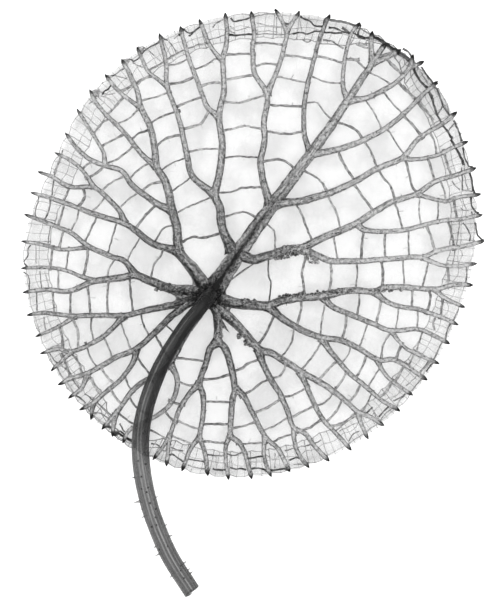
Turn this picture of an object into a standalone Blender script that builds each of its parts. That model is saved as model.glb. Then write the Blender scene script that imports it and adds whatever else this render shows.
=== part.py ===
"""A giant water lily's leaf, picked and laid face down.

The leaf's upturned rim points down and is what it rests on. The ribs stand on the
upper side, and the cut leaf stalk bends over from the hub, crosses the margin and
comes down to the surface. Lengths and places are in millimetres from the middle of
the leaf, with +X to the right and +Y towards the far edge; MM turns them into metres.
"""

import math

import bmesh
import bpy
from mathutils import Quaternion, Vector
from mathutils.bvhtree import BVHTree

MM = 0.001
GAP = 0.3  # between neighbouring pieces

LEAF_CENTRE = (0.0, 74.5)  # puts the middle of the whole leaf and stalk on the origin
FOLD_STEP = 20  # degrees between the radii below
FOLD_RADII = (
    278, 288, 302, 302, 292, 285, 279, 273, 269,
    285, 290, 294, 296, 294, 287, 279, 273, 271,
)  # the folded margin, anticlockwise from +X
MARGIN_SIDES = 96

RIM_HEIGHT = 26.0
RIM_LEAN = 31.0  # how far the rim's edge leans in under the leaf
FOLD_OUTSIDE = ((8.0, 0.0), (2.3, 2.2), (0.0, 7.0))  # inset and drop of the rounded margin
FOLD_INSIDE = ((1.56, 7.6), (3.34, 3.37), (8.0, 1.3))  # the same on the underside, going back
RIM_THICKNESS = 1.56
RIM_BEND = 0.45  # the share of the rim's lean and height at its bend
NOTCH_ANGLES = (55.6, 235.6)  # the two notches in the rim, at the ends of the long axis
NOTCH_HALF_ANGLE = 13.0
NOTCH_LEAN = 6.0
NOTCH_LIFT = 9.0  # the rim's edge is this much shorter in the notches

RIB_BASE = RIM_HEIGHT + GAP
RIB_DEPTH = 0.85  # of its width
RIB_SECTION = ((-0.40, 0.0), (0.40, 0.0), (0.50, 0.42), (0.22, 1.0), (-0.22, 1.0), (-0.50, 0.42))
SPUR_LENGTH = 9.0
SPUR_POINT = 1.4
SHORTEST_LAST_RUN = 13.5  # a route's last point but one goes if it is nearer the tip than this
TWIG_DEPTH = 0.92  # of its rib's
TWIG_LIFT = 0.2

HUB = (-54.0, -66.0)
HUB_PROFILE = ((0.0, 17.0), (7.0, 16.0), (12.0, 12.6))  # height over the blade, radius
HUB_SIDES = 24
HUB_CUT_DEPTH = 60.0
STALK_RADIUS = 10.3
STALK_SIDES = 12
STALK_BEND_START = 41.0
STALK_BEND_RADIUS = 17.0
STALK_BEND_HEADING = (-0.6, -0.8)
STALK_BEND_STEPS = 4
STALK_LONGEST_STEP = 30.0  # a longer one gets a point in its middle
STALK_ROUTE = (
    (-84, -104, 58), (-107, -140, 56), (-122, -172, 53), (-133, -205, 50), (-139, -240, 47.5),
    (-138.5, -275, 42), (-132, -315, 32), (-121, -352, 22), (-103, -394, 13), (-76, -437, 10.5),
)

GREY = {"blade": 0.80, "rib": 0.30, "hub_rib": 0.25, "stalk": 0.16}
SHARP_ANGLE = 35  # degrees; gentler edges are shaded smooth

# Each rib: name, width where it starts, width at the margin, its route to the spur's
# tip, and the small twigs that leave it near the margin.
RIBS = (
    ("midrib", 26, 8,
     ((-54, -66), (-20, -15), (12, 30), (30, 55), (60, 95), (100, 150), (120, 181), (150, 226), (167, 252)),
     (((150, 226), (148, 250), (150, 266)), ((150, 226), (169, 233), (186, 243)))),
    ("hub_rib_1", 15, 6.5,
     ((-54, -66), (-20, -75), (0, -77), (20, -78), (35, -72), (60, -68), (88, -66), (120, -59), (153, -60),
      (165, -55), (190, -55), (230, -57), (250, -52), (276, -52)),
     (((228, -57), (240, -68), (266, -80)),)),
    ("hub_rib_7", 17, 6.5,
     ((-54, -66), (-72, -35), (-85, -20), (-92, -10), (-95, 20), (-101, 42), (-108, 75), (-120, 96),
      (-122, 115), (-128, 145), (-140, 171), (-144, 190), (-152, 208), (-164, 231)),
     (((-139, 169), (-160, 184), (-172, 195), (-185, 212)),)),
    ("hub_rib_3", 13, 6.5,
     ((-54, -66), (-45, -85), (-43, -105), (-43, -122), (-35, -130), (-28, -150), (-22, -182),
      (-25, -195), (-27, -220), (-27, -240), (-16, -250), (-8, -267), (-1, -295)),
     (((-27, -238), (-33, -252), (-34, -266), (-32, -283), (-30, -296)),)),
    ("hub_rib_6", 15, 6,
     ((-54, -66), (-70, -60), (-100, -57), (-125, -48), (-147, -40), (-165, -43), (-200, -48),
      (-230, -60), (-255, -58), (-288, -61)),
     (((-198, -47), (-215, -41), (-235, -33), (-260, -30), (-290, -31)),)),
    ("hub_rib_2", 14, 6.5,
     ((-54, -66), (-38, -85), (-25, -97), (-10, -112), (8, -132), (25, -138), (45, -150), (60, -160),
      (90, -177), (105, -188), (120, -200), (132, -211), (145, -216), (165, -228)),
     (((131, -210), (136, -226), (145, -245)),)),
    ("hub_rib_5", 11, 6,
     ((-54, -66), (-75, -70), (-100, -77), (-130, -83), (-160, -90), (-200, -90), (-222, -91),
      (-260, -87), (-283, -90)),
     (((-221, -91), (-245, -105), (-272, -117)),)),
    ("hub_rib_4", 12, 6.5,
     ((-54, -66), (-70, -92), (-88, -120), (-103, -150), (-120, -165), (-135, -172), (-150, -184),
      (-165, -205), (-173, -215), (-189, -233)),
     (((-171, -212), (-176, -242)),)),
    ("left_rib_1", 14, 6.5,
     ((-25, -10), (-38, 20), (-41, 45), (-47, 61), (-41, 90), (-38, 125), (-42, 158), (-36, 190),
      (-37, 230), (-32, 255), (-34, 289)),
     (((-37, 228), (-52, 245), (-67, 281)),)),
    ("left_rib_2", 11, 6.5,
     ((22, 48), (14, 75), (10, 100), (15, 130), (14, 150), (18, 186), (3, 212), (0, 240), (2, 262), (-2, 291)),
     ()),
    ("left_rib_3", 8, 6,
     ((72, 112), (65, 135), (64, 160), (66, 185), (78, 235), (85, 260), (97, 287)),
     ()),
    ("left_rib_4", 7, 5.5,
     ((119, 180), (113, 196), (114, 220), (118, 245), (125, 265), (134, 277)),
     ()),
    ("right_rib_1", 14, 6.5,
     ((-18, -12), (0, -20), (20, -15), (45, -8), (60, -6), (95, 10), (115, 18), (130, 25), (150, 38),
      (175, 52), (205, 62), (228, 77), (262, 88), (280, 95)),
     (((203, 62), (240, 53), (255, 57), (286, 62)),)),
    ("right_rib_2", 12, 6.5,
     ((28, 50), (60, 53), (95, 63), (125, 76), (155, 93), (188, 108), (205, 128), (220, 140), (235, 148),
      (256, 165)),
     (((186, 107), (205, 105), (230, 110), (250, 120), (270, 128)),)),
    ("right_rib_3", 10, 6.5,
     ((72, 112), (90, 114), (115, 120), (140, 130), (165, 143), (190, 163), (215, 188), (232, 203)),
     ()),
    ("right_rib_4", 9, 6,
     ((119, 179), (140, 181), (160, 190), (180, 202), (197, 219), (215, 228)),
     (((196, 218), (201, 237)),)),
    ("left_rib_1_branch_1", 10, 6,
     ((-47, 61), (-75, 84), (-82, 110), (-92, 155), (-107, 198), (-108, 225), (-117, 263)),
     (((-106, 196), (-130, 215), (-145, 246)),)),
    ("left_rib_1_branch_2", 8, 6,
     ((-42, 158), (-56, 170), (-68, 200), (-80, 232), (-91, 272)),
     ()),
    ("left_rib_2_branch_1", 8, 6,
     ((18, 186), (32, 220), (40, 248), (42, 266), (28, 294)),
     (((42, 264), (59, 291)),)),
    ("right_rib_1_branch_1", 8, 6,
     ((130, 25), (140, 17), (165, 15), (190, 17), (235, 28), (258, 30), (288, 36)),
     ()),
    ("right_rib_1_branch_2", 10, 6.5,
     ((60, -6), (85, -17), (100, -22), (130, -22), (165, -20), (200, -17), (213, -17), (235, -8),
      (260, -4), (290, 3)),
     (((211, -17), (240, -28), (260, -28), (281, -25)),)),
    ("hub_rib_1_branch_1", 8, 6,
     ((153, -60), (163, -70), (180, -78), (205, -82), (230, -90), (258, -102)),
     ()),
    ("hub_rib_1_branch_2", 9, 6,
     ((88, -66), (98, -78), (125, -90), (150, -100), (173, -109), (205, -107), (220, -112), (247, -126)),
     (((172, -108), (190, -130), (205, -138), (234, -151)),)),
    ("hub_rib_1_branch_3", 11, 6.5,
     ((20, -78), (35, -92), (55, -105), (86, -118), (110, -121), (130, -130), (158, -146), (175, -145),
      (190, -152), (205, -162), (219, -171)),
     (((156, -145), (161, -157), (170, -168), (185, -180), (201, -190)),)),
    ("hub_rib_1_branch_4", 8.5, 6,
     ((86, -118), (100, -138), (122, -163), (140, -178), (160, -195), (185, -210)),
     ()),
    ("hub_rib_2_branch_1", 8.5, 6,
     ((60, -160), (70, -185), (78, -203), (88, -220), (100, -233), (124, -259)),
     ()),
    ("hub_rib_2_branch_2", 10, 6.5,
     ((8, -132), (12, -148), (22, -168), (35, -190), (45, -213), (52, -231), (65, -237), (75, -250),
      (96, -273)),
     (((52, -229), (52, -245), (57, -262), (71, -281)),)),
    ("hub_rib_3_branch_1", 8.5, 6.5,
     ((-22, -182), (-12, -190), (0, -212), (17, -243), (32, -257), (47, -286)),
     (((16, -241), (14, -256), (15, -269), (18, -280), (24, -292)),)),
    ("hub_rib_3_branch_2", 10, 6.5,
     ((-43, -122), (-53, -132), (-58, -148), (-66, -175), (-62, -190), (-62, -215), (-66, -243),
      (-60, -260), (-56, -291)),
     (((-65, -241), (-75, -253), (-89, -285)),)),
    ("hub_rib_3_branch_3", 8, 6,
     ((-66, -175), (-79, -188), (-90, -205), (-97, -222), (-103, -240), (-108, -279)),
     (((-102, -238), (-112, -254), (-125, -271)),)),
    ("hub_rib_4_branch_1", 8, 6,
     ((-103, -150), (-94, -172), (-101, -198), (-118, -214), (-140, -225), (-155, -235), (-163, -250)),
     (((-139, -225), (-148, -256)),)),
    ("hub_rib_5_branch_1", 8, 6,
     ((-160, -90), (-188, -117), (-228, -136), (-242, -132), (-266, -138)),
     (((-226, -135), (-253, -160)),)),
    ("hub_rib_5_branch_2", 11, 6.5,
     ((-75, -70), (-100, -90), (-125, -114), (-146, -132), (-170, -142), (-192, -155), (-208, -163),
      (-225, -168), (-244, -177)),
     (((-206, -162), (-214, -181), (-231, -194)),)),
    ("hub_rib_5_branch_3", 8, 6,
     ((-146, -132), (-148, -145), (-162, -167), (-185, -187), (-200, -200), (-217, -209)),
     (((-199, -199), (-203, -221)),)),
    ("hub_rib_6_branch_1", 9, 6,
     ((-147, -40), (-160, -22), (-175, -17), (-206, -3), (-225, 12), (-255, 25), (-286, 37)),
     (((-204, -4), (-240, -8), (-260, -2), (-290, 3)),)),
    ("hub_rib_7_branch_1", 11, 6,
     ((-92, -10), (-125, 0), (-145, 15), (-160, 25), (-190, 34), (-220, 45), (-250, 56), (-278, 64)),
     ()),
    ("hub_rib_7_branch_2", 8, 6,
     ((-160, 25), (-168, 43), (-185, 60), (-199, 70), (-230, 71), (-250, 83), (-269, 90)),
     (((-198, 69), (-213, 92), (-230, 105), (-248, 114)),)),
    ("hub_rib_7_branch_3", 10, 6,
     ((-101, 42), (-115, 47), (-130, 57), (-150, 72), (-163, 90), (-187, 98), (-205, 106), (-222, 122),
      (-235, 139)),
     (((-185, 97), (-186, 112), (-192, 124), (-205, 145), (-220, 169)),)),
    ("hub_rib_7_branch_4", 8, 6,
     ((-120, 96), (-137, 110), (-160, 138), (-183, 161), (-197, 178), (-204, 193)),
     ()),
)


def clear_scene():
    for thing in list(bpy.data.objects):
        bpy.data.objects.remove(thing)


def material(name, grey, roughness=0.6):
    made = bpy.data.materials.new(name)
    made.use_nodes = True
    shader = made.node_tree.nodes["Principled BSDF"]
    shader.inputs["Base Color"].default_value = (grey, grey, grey, 1.0)
    shader.inputs["Roughness"].default_value = roughness
    shader.inputs["Metallic"].default_value = 0.0
    return made


def object_from(name, bm):
    bmesh.ops.recalc_face_normals(bm, faces=bm.faces)
    mesh = bpy.data.meshes.new(name)
    bm.to_mesh(mesh)
    bm.free()
    made = bpy.data.objects.new(name, mesh)
    bpy.context.collection.objects.link(made)
    return made


def loft(name, sections):
    """One closed body through rings with the same number of corners."""
    bm = bmesh.new()
    rings = [[bm.verts.new(corner * MM) for corner in section] for section in sections]
    for near, far in zip(rings, rings[1:]):
        for i, corner in enumerate(near):
            j = (i + 1) % len(near)
            bm.faces.new((corner, near[j], far[j], far[i]))
    bm.faces.new(rings[0])
    bm.faces.new(rings[-1])
    return object_from(name, bm)


def combine(target, other, operation):
    """Join a second body to the target, or cut it away; the second body is used up."""
    boolean = target.modifiers.new("boolean", "BOOLEAN")
    boolean.operation = operation
    boolean.solver = "EXACT"
    boolean.object = other
    depsgraph = bpy.context.evaluated_depsgraph_get()
    result = bpy.data.meshes.new_from_object(target.evaluated_get(depsgraph))
    target.modifiers.clear()
    target.data = result
    bpy.data.objects.remove(other)


def meet(first, second):
    depsgraph = bpy.context.evaluated_depsgraph_get()
    trees = [BVHTree.FromObject(thing, depsgraph) for thing in (first, second)]
    return bool(trees[0].overlap(trees[1]))


def fold_radius(angle):
    """The margin's radius at an angle in degrees, on a smooth closed curve."""
    place = (angle % 360) / FOLD_STEP
    i = int(place)
    t = place - i
    before, here, after, beyond = (FOLD_RADII[(i + k) % len(FOLD_RADII)] for k in (-1, 0, 1, 2))
    return here + 0.5 * t * (
        after - before
        + t * (2 * before - 5 * here + 4 * after - beyond + t * (3 * (here - after) + beyond - before))
    )


def notch_share(angle):
    """1 in the middle of a notch of the rim, 0 away from it."""
    nearest = min(abs((angle - notch + 180) % 360 - 180) for notch in NOTCH_ANGLES)
    return 0.5 + 0.5 * math.cos(math.pi * min(nearest / NOTCH_HALF_ANGLE, 1.0))


def blade():
    """The leaf's flat plate with its rounded margin and leaning rim, all one sheet."""
    rings = [[] for _ in range(10)]
    for k in range(MARGIN_SIDES):
        angle = 360 * k / MARGIN_SIDES
        notch = notch_share(angle)
        lean = RIM_LEAN + (NOTCH_LEAN - RIM_LEAN) * notch
        edge = NOTCH_LIFT * notch
        bend = RIM_BEND * lean
        bend_height = edge + RIM_BEND * (RIM_HEIGHT - edge)
        profile = [(inset, RIM_HEIGHT - drop) for inset, drop in FOLD_OUTSIDE]
        profile += [(bend, bend_height), (lean, edge)]
        profile += [(lean + RIM_THICKNESS, edge), (bend + RIM_THICKNESS, bend_height)]
        profile += [(inset, RIM_HEIGHT - drop) for inset, drop in FOLD_INSIDE]
        way = Vector((math.cos(math.radians(angle)), math.sin(math.radians(angle)), 0.0))
        for ring, (inset, height) in zip(rings, profile):
            ring.append(way * (fold_radius(angle) - inset) + Vector((0, 0, height)))
    return loft("blade", rings)


def with_shoulder(route):
    """The route with one more point, where its spur starts to narrow."""
    last, tip = (Vector(point) for point in route[-2:])
    shoulder = tip + (last - tip).normalized() * SPUR_LENGTH
    kept = [Vector(point) for point in route[:-1]]
    if (last - tip).length < SHORTEST_LAST_RUN:
        kept = kept[:-1]
    return kept + [shoulder, tip]


def rib_body(name, route, start, end, base=RIB_BASE, depth=RIB_DEPTH, grow=0.0):
    """One tapering rib along a route, ending in a spur; grow swells it on all sides."""
    points = with_shoulder(route)
    runs = [0.0]
    for here, there in zip(points, points[1:]):
        runs.append(runs[-1] + (there - here).length)
    sections = []
    for i, point in enumerate(points):
        before, after = points[max(i - 1, 0)], points[min(i + 1, len(points) - 1)]
        along = ((point - before).normalized() + (after - point).normalized()).normalized()
        width = start + (end - start) * min(runs[i] / runs[-2], 1.0)
        if i == len(points) - 1:
            width = SPUR_POINT
        if i == 0:
            point = point - along * grow
        elif i == len(points) - 1:
            point = point + along * grow
        side = Vector((-along.y, along.x))
        height = width * depth
        sections.append([
            Vector((*(point + side * u * (width + 2 * grow)), base - grow + v * (height + 2 * grow)))
            for u, v in RIB_SECTION
        ])
    return loft(name, sections)


def rib_bodies(rib, grow=0.0):
    """A rib's main body and those of its twigs."""
    name, start, end, route, twigs = rib
    bodies = [rib_body(name, route, start, end, grow=grow)]
    for twig in twigs:
        bodies.append(rib_body(
            name + "_twig", twig, 0.96 * end, 0.92 * end,
            base=RIB_BASE + TWIG_LIFT, depth=RIB_DEPTH * TWIG_DEPTH, grow=grow,
        ))
    return bodies


def hub_cutter(grow):
    """The hub's own outline, swelled, to cut back the ribs that end at it."""
    bm = bmesh.new()
    widest = max(radius for _, radius in HUB_PROFILE)
    radius = (widest + grow) * MM / math.cos(math.pi / HUB_SIDES)
    bmesh.ops.create_cone(
        bm, cap_ends=True, segments=HUB_SIDES, depth=HUB_CUT_DEPTH * MM, radius1=radius, radius2=radius,
    )
    made = object_from("hub_cutter", bm)
    made.location = (HUB[0] * MM, HUB[1] * MM, RIB_BASE * MM)
    return made


def stalk():
    """The cut leaf stalk with the hub that it grows from."""
    centres = [Vector((*HUB, RIB_BASE + height)) for height, _ in HUB_PROFILE]
    radii = [radius for _, radius in HUB_PROFILE]
    heading = Vector((*STALK_BEND_HEADING, 0.0))
    for step in range(STALK_BEND_STEPS + 1):
        turn = 0.5 * math.pi * step / STALK_BEND_STEPS
        centres.append(
            Vector((*HUB, STALK_BEND_START))
            + heading * STALK_BEND_RADIUS * (1 - math.cos(turn))
            + Vector((0, 0, STALK_BEND_RADIUS * math.sin(turn)))
        )
    route = [centres[-1]] + [Vector(point) for point in STALK_ROUTE]
    for i in range(len(route) - 1):
        before = route[i - 1] if i else centres[-2]
        here, there = route[i], route[i + 1]
        beyond = route[min(i + 2, len(route) - 1)]
        if (there - here).length > STALK_LONGEST_STEP:
            # half way on a smooth curve through the four points
            centres.append((9 * (here + there) - (before + beyond)) / 16)
        centres.append(there)
    radii += [STALK_RADIUS] * (len(centres) - len(radii))
    sections = []
    across = Vector((heading.y, -heading.x, 0.0))
    along = Vector((0, 0, 1))
    for i, (centre, radius) in enumerate(zip(centres, radii)):
        way = (centres[min(i + 1, len(centres) - 1)] - centres[max(i - 1, 0)]).normalized()
        if i == 0:
            way = Vector((0, 0, 1))
        across.rotate(along.rotation_difference(way))
        along = way
        sections.append([
            centre + radius * (Quaternion(way, 2 * math.pi * k / STALK_SIDES) @ across)
            for k in range(STALK_SIDES)
        ])
    return loft("petiole", sections)


def main():
    clear_scene()
    leaf = bpy.data.objects.new("leaf", None)
    leaf.location = (LEAF_CENTRE[0] * MM, LEAF_CENTRE[1] * MM, 0.0)
    bpy.context.collection.objects.link(leaf)

    built = {}
    for rib in RIBS:
        bodies = rib_bodies(rib)
        made = bodies[0]
        for twig in bodies[1:]:
            combine(made, twig, "UNION")
        if rib[3][0] == HUB:
            combine(made, hub_cutter(GAP), "DIFFERENCE")
        for older in RIBS:
            if older[0] in built and meet(made, built[older[0]]):
                for cutter in rib_bodies(older, grow=GAP):
                    combine(made, cutter, "DIFFERENCE")
        made.data.materials.clear()
        made.data.materials.append(
            material(rib[0], GREY["hub_rib" if rib[0].startswith("hub") else "rib"])
        )
        built[rib[0]] = made

    sheet = blade()
    sheet.data.materials.append(material("blade", GREY["blade"]))
    stem = stalk()
    stem.data.materials.append(material("petiole", GREY["stalk"], roughness=0.45))
    for made in (*built.values(), sheet, stem):
        made.data.shade_smooth()
        made.data.set_sharp_from_angle(angle=math.radians(SHARP_ANGLE))
        made.parent = leaf


main()
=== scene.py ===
import math
import random

import bmesh
import bpy
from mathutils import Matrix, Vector, kdtree, noise


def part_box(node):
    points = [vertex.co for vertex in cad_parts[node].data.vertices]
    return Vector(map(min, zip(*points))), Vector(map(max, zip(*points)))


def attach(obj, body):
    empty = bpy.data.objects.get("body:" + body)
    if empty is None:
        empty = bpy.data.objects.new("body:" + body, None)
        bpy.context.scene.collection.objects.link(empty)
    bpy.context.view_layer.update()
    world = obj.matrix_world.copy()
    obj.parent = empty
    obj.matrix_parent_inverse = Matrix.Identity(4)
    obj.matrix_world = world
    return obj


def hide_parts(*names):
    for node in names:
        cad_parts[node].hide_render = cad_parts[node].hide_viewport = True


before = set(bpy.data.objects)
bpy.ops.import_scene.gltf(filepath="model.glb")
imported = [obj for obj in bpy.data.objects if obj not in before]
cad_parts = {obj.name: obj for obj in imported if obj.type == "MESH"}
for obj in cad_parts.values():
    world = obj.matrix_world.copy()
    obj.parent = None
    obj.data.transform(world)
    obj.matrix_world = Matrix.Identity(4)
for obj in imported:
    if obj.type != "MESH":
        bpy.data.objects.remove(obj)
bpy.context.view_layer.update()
mm = 0.001

# The leaf's own plane: its middle in the frame, and the heights that the solids give.
leaf = {
    "x": 0.0,
    "y": 74.5,
    "sheetTop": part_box("blade")[1][2] / mm,
    "ribBase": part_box("midrib")[0][2] / mm - 1.0,  # ribs sink a little into the sheet
    "hub": (-54, -66),
    "longAxis": 55.6,
}


def place(x, y, z):
    return Vector(((x + leaf["x"]) * mm, (y + leaf["y"]) * mm, z * mm))


def blend(a, b, t):
    return a + (b - a) * t


def ease(low, high, x):
    t = min(max((x - low) / (high - low), 0.0), 1.0)
    return t * t * (3 - 2 * t)


def drift(x, y, z=0.0, size=10.0):
    return noise.noise(Vector((x, y, z)) / size)


# Camera and stage first: straight above, as the leaf lies.
view = {"x": -0.002, "y": -0.00125, "tall": 0.760, "lens": 150, "focusHeight": 0.027}


def makeCamera():
    data = bpy.data.cameras.new("overhead")
    data.lens = view["lens"]
    data.sensor_width = 36
    camera = bpy.data.objects.new("overhead", data)
    distance = view["tall"] * view["lens"] / data.sensor_width
    camera.location = (view["x"], view["y"], view["focusHeight"] + distance)
    data.clip_end = 50
    bpy.context.collection.objects.link(camera)
    bpy.context.scene.camera = camera


light = {"sky": 0.8, "lamp": 95, "lampSize": 3.0, "lampPlace": (0.1, 0.2, 4.5), "floorGlow": 0.55}


def makeLight():
    world = bpy.data.worlds.new("studio")
    world.use_nodes = True
    world.node_tree.nodes["Background"].inputs["Color"].default_value = (1, 1, 1, 1)
    world.node_tree.nodes["Background"].inputs["Strength"].default_value = light["sky"]
    bpy.context.scene.world = world
    data = bpy.data.lights.new("softbox", "AREA")
    data.energy = light["lamp"]
    data.size = light["lampSize"]
    lamp = bpy.data.objects.new("softbox", data)
    lamp.location = light["lampPlace"]
    lamp.rotation_euler = (-Vector(light["lampPlace"])).to_track_quat("-Z", "Y").to_euler()
    bpy.context.collection.objects.link(lamp)
    bpy.context.scene.view_settings.view_transform = "Standard"


def makeFloor():
    bpy.ops.mesh.primitive_plane_add(size=8)
    floor = bpy.context.object
    floor.name = "floor"
    paint = bpy.data.materials.new("floorPaint")
    paint.use_nodes = True
    shader = paint.node_tree.nodes["Principled BSDF"]
    shader.inputs["Base Color"].default_value = (0.93, 0.93, 0.93, 1)
    shader.inputs["Roughness"].default_value = 0.9
    shader.inputs["Specular IOR Level"].default_value = 0.1
    shader.inputs["Emission Color"].default_value = (1, 1, 1, 1)  # a light table, so shadows stay faint
    shader.inputs["Emission Strength"].default_value = light["floorGlow"]
    floor.data.materials.append(paint)


# Node helpers
def addNode(tree, kind, x, y, **settings):
    node = tree.nodes.new(kind)
    node.location = (x, y)
    for name, value in settings.items():
        setattr(node, name, value)
    return node


def mathNode(tree, operation, x, y, a, b=None):
    node = addNode(tree, "ShaderNodeMath", x, y, operation=operation)
    for socket, value in zip(node.inputs, (a, b)):
        if value is None:
            continue
        if isinstance(value, (int, float)):
            socket.default_value = value
        else:
            tree.links.new(value, socket)
    return node.outputs[0]


def rangeNode(tree, x, y, value, low, high, toLow=0.0, toHigh=1.0):
    node = addNode(tree, "ShaderNodeMapRange", x, y, interpolation_type="SMOOTHSTEP")
    tree.links.new(value, node.inputs["Value"])
    for name, number in (("From Min", low), ("From Max", high), ("To Min", toLow), ("To Max", toHigh)):
        node.inputs[name].default_value = number
    return node.outputs["Result"]


def newGroup(name, inputs, outputs):
    group = bpy.data.node_groups.new(name, "ShaderNodeTree")
    for socketName, value in inputs:
        socket = group.interface.new_socket(socketName, in_out="INPUT", socket_type="NodeSocketFloat")
        socket.default_value = value
    for socketName in outputs:
        group.interface.new_socket(socketName, in_out="OUTPUT", socket_type="NodeSocketFloat")
    start = addNode(group, "NodeGroupInput", -900, 0)
    end = addNode(group, "NodeGroupOutput", 900, 0)
    return group, start, end


# Long fibres with darker, beaded walls on both sides, as in a hollow rib or stalk.
def makeFibreGroup():
    group, start, end = newGroup(
        "plantFibre",
        (("Across", 0.0), ("Along", 0.0), ("Walls", 0.5), ("Wall Start", 0.35), ("Streaks", 0.3),
         ("Streak Count", 6.0), ("Mottle", 0.25), ("Specks", 0.3)),
        ("Tone", "Relief"),
    )
    link = group.links.new
    across, along = start.outputs["Across"], start.outputs["Along"]
    aside = mathNode(group, "ABSOLUTE", -700, 200, across)
    walls = addNode(group, "ShaderNodeMapRange", -500, 200, interpolation_type="SMOOTHSTEP")
    link(aside, walls.inputs["Value"])
    link(start.outputs["Wall Start"], walls.inputs["From Min"])
    walls.inputs["From Max"].default_value = 0.8
    fringe = rangeNode(group, -500, 400, aside, 0.84, 1.0, 0.0, 0.6)
    wall = mathNode(group, "SUBTRACT", -300, 300, walls.outputs["Result"], fringe)
    string = addNode(group, "ShaderNodeCombineXYZ", -500, 50)
    link(mathNode(group, "MULTIPLY", -700, 50, across, 2.2), string.inputs["X"])
    link(mathNode(group, "MULTIPLY", -700, -50, along, 0.3), string.inputs["Y"])
    beads = addNode(group, "ShaderNodeTexNoise", -300, 50)
    beads.inputs["Scale"].default_value = 1.0
    beads.inputs["Detail"].default_value = 3.0
    link(string.outputs["Vector"], beads.inputs["Vector"])
    beading = rangeNode(group, -100, 50, beads.outputs["Fac"], 0.34, 0.66, 0.25, 1.6)
    wallTone = mathNode(group, "MULTIPLY", 100, 200, mathNode(group, "MULTIPLY", 0, 200, wall, beading),
                        start.outputs["Walls"])

    strand = addNode(group, "ShaderNodeCombineXYZ", -500, -100)
    link(mathNode(group, "MULTIPLY", -700, -150, across, start.outputs["Streak Count"]), strand.inputs["X"])
    link(mathNode(group, "MULTIPLY", -700, -250, along, 0.035), strand.inputs["Y"])
    strands = addNode(group, "ShaderNodeTexNoise", -300, -100)
    strands.inputs["Scale"].default_value = 1.0
    strands.inputs["Detail"].default_value = 3.0
    link(strand.outputs["Vector"], strands.inputs["Vector"])
    strandTone = rangeNode(group, -100, -100, strands.outputs["Fac"], 0.3, 0.7, -0.5, 0.5)
    strandTone = mathNode(group, "MULTIPLY", 100, -100, strandTone, start.outputs["Streaks"])

    where = addNode(group, "ShaderNodeTexCoord", -700, -450)
    blots = addNode(group, "ShaderNodeTexNoise", -300, -400)
    blots.inputs["Scale"].default_value = 260.0
    blots.inputs["Detail"].default_value = 4.0
    blots.inputs["Roughness"].default_value = 0.65
    link(where.outputs["Object"], blots.inputs["Vector"])
    blotTone = rangeNode(group, -100, -400, blots.outputs["Fac"], 0.32, 0.68, -0.5, 0.5)
    blotTone = mathNode(group, "MULTIPLY", 100, -400, blotTone, start.outputs["Mottle"])

    dots = addNode(group, "ShaderNodeTexNoise", -300, -650)
    dots.inputs["Scale"].default_value = 620.0
    dots.inputs["Detail"].default_value = 1.0
    link(where.outputs["Object"], dots.inputs["Vector"])
    dotTone = rangeNode(group, -100, -650, dots.outputs["Fac"], 0.57, 0.68, 0.0, 1.0)
    dotTone = mathNode(group, "MULTIPLY", 100, -650, dotTone, start.outputs["Specks"])

    marks = mathNode(group, "ADD", 300, -200, strandTone, blotTone)
    detail = mathNode(group, "SUBTRACT", 400, -300, marks, dotTone)
    tone = mathNode(group, "SUBTRACT", 500, 100, detail, wallTone)
    link(tone, end.inputs["Tone"])
    link(detail, end.inputs["Relief"])
    return group


# Soft clouds and a fine net of the smallest veins, for thin leaf tissue.
def makeTissueGroup():
    group, start, end = newGroup(
        "leafTissue",
        (("Cloud Size", 22.0), ("Net Size", 90.0), ("Net", 0.4), ("Grain", 0.4)),
        ("Density", "Relief"),
    )
    link = group.links.new
    where = addNode(group, "ShaderNodeTexCoord", -700, 0)
    clouds = addNode(group, "ShaderNodeTexNoise", -500, 200)
    link(where.outputs["Object"], clouds.inputs["Vector"])
    link(start.outputs["Cloud Size"], clouds.inputs["Scale"])
    clouds.inputs["Detail"].default_value = 5.0
    cloudy = rangeNode(group, -300, 200, clouds.outputs["Fac"], 0.35, 0.7, -0.5, 0.5)

    bent = addNode(group, "ShaderNodeVectorMath", -500, -100, operation="MULTIPLY_ADD")
    link(clouds.outputs["Color"], bent.inputs[0])
    bent.inputs[1].default_value = (0.012, 0.012, 0.0)
    link(where.outputs["Object"], bent.inputs[2])
    net = addNode(group, "ShaderNodeTexVoronoi", -300, -100, feature="DISTANCE_TO_EDGE")
    link(bent.outputs["Vector"], net.inputs["Vector"])
    link(start.outputs["Net Size"], net.inputs["Scale"])
    lines = rangeNode(group, -100, -100, net.outputs["Distance"], 0.02, 0.11, 1.0, 0.0)
    lines = mathNode(group, "MULTIPLY", 100, -100, lines, start.outputs["Net"])

    grains = addNode(group, "ShaderNodeTexNoise", -300, -400)
    link(where.outputs["Object"], grains.inputs["Vector"])
    grains.inputs["Scale"].default_value = 900.0
    grains.inputs["Detail"].default_value = 2.0
    grainy = rangeNode(group, -100, -400, grains.outputs["Fac"], 0.3, 0.7, -0.5, 0.5)
    grainy = mathNode(group, "MULTIPLY", 100, -400, grainy, start.outputs["Grain"])

    mixed = mathNode(group, "ADD", 300, 0, mathNode(group, "ADD", 300, 150, cloudy, lines), grainy)
    link(mixed, end.inputs["Density"])
    link(mathNode(group, "ADD", 500, -200, lines, grainy), end.inputs["Relief"])
    return group


def groupNode(tree, group, x, y, **values):
    node = addNode(tree, "ShaderNodeGroup", x, y)
    node.node_tree = group
    for name, value in values.items():
        socket = node.inputs[name.replace("_", " ")]
        if isinstance(value, (int, float)):
            socket.default_value = value
        else:
            tree.links.new(value, socket)
    return node


def attribute(tree, name, x, y):
    return addNode(tree, "ShaderNodeAttribute", x, y, attribute_name=name).outputs["Fac"]


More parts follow.
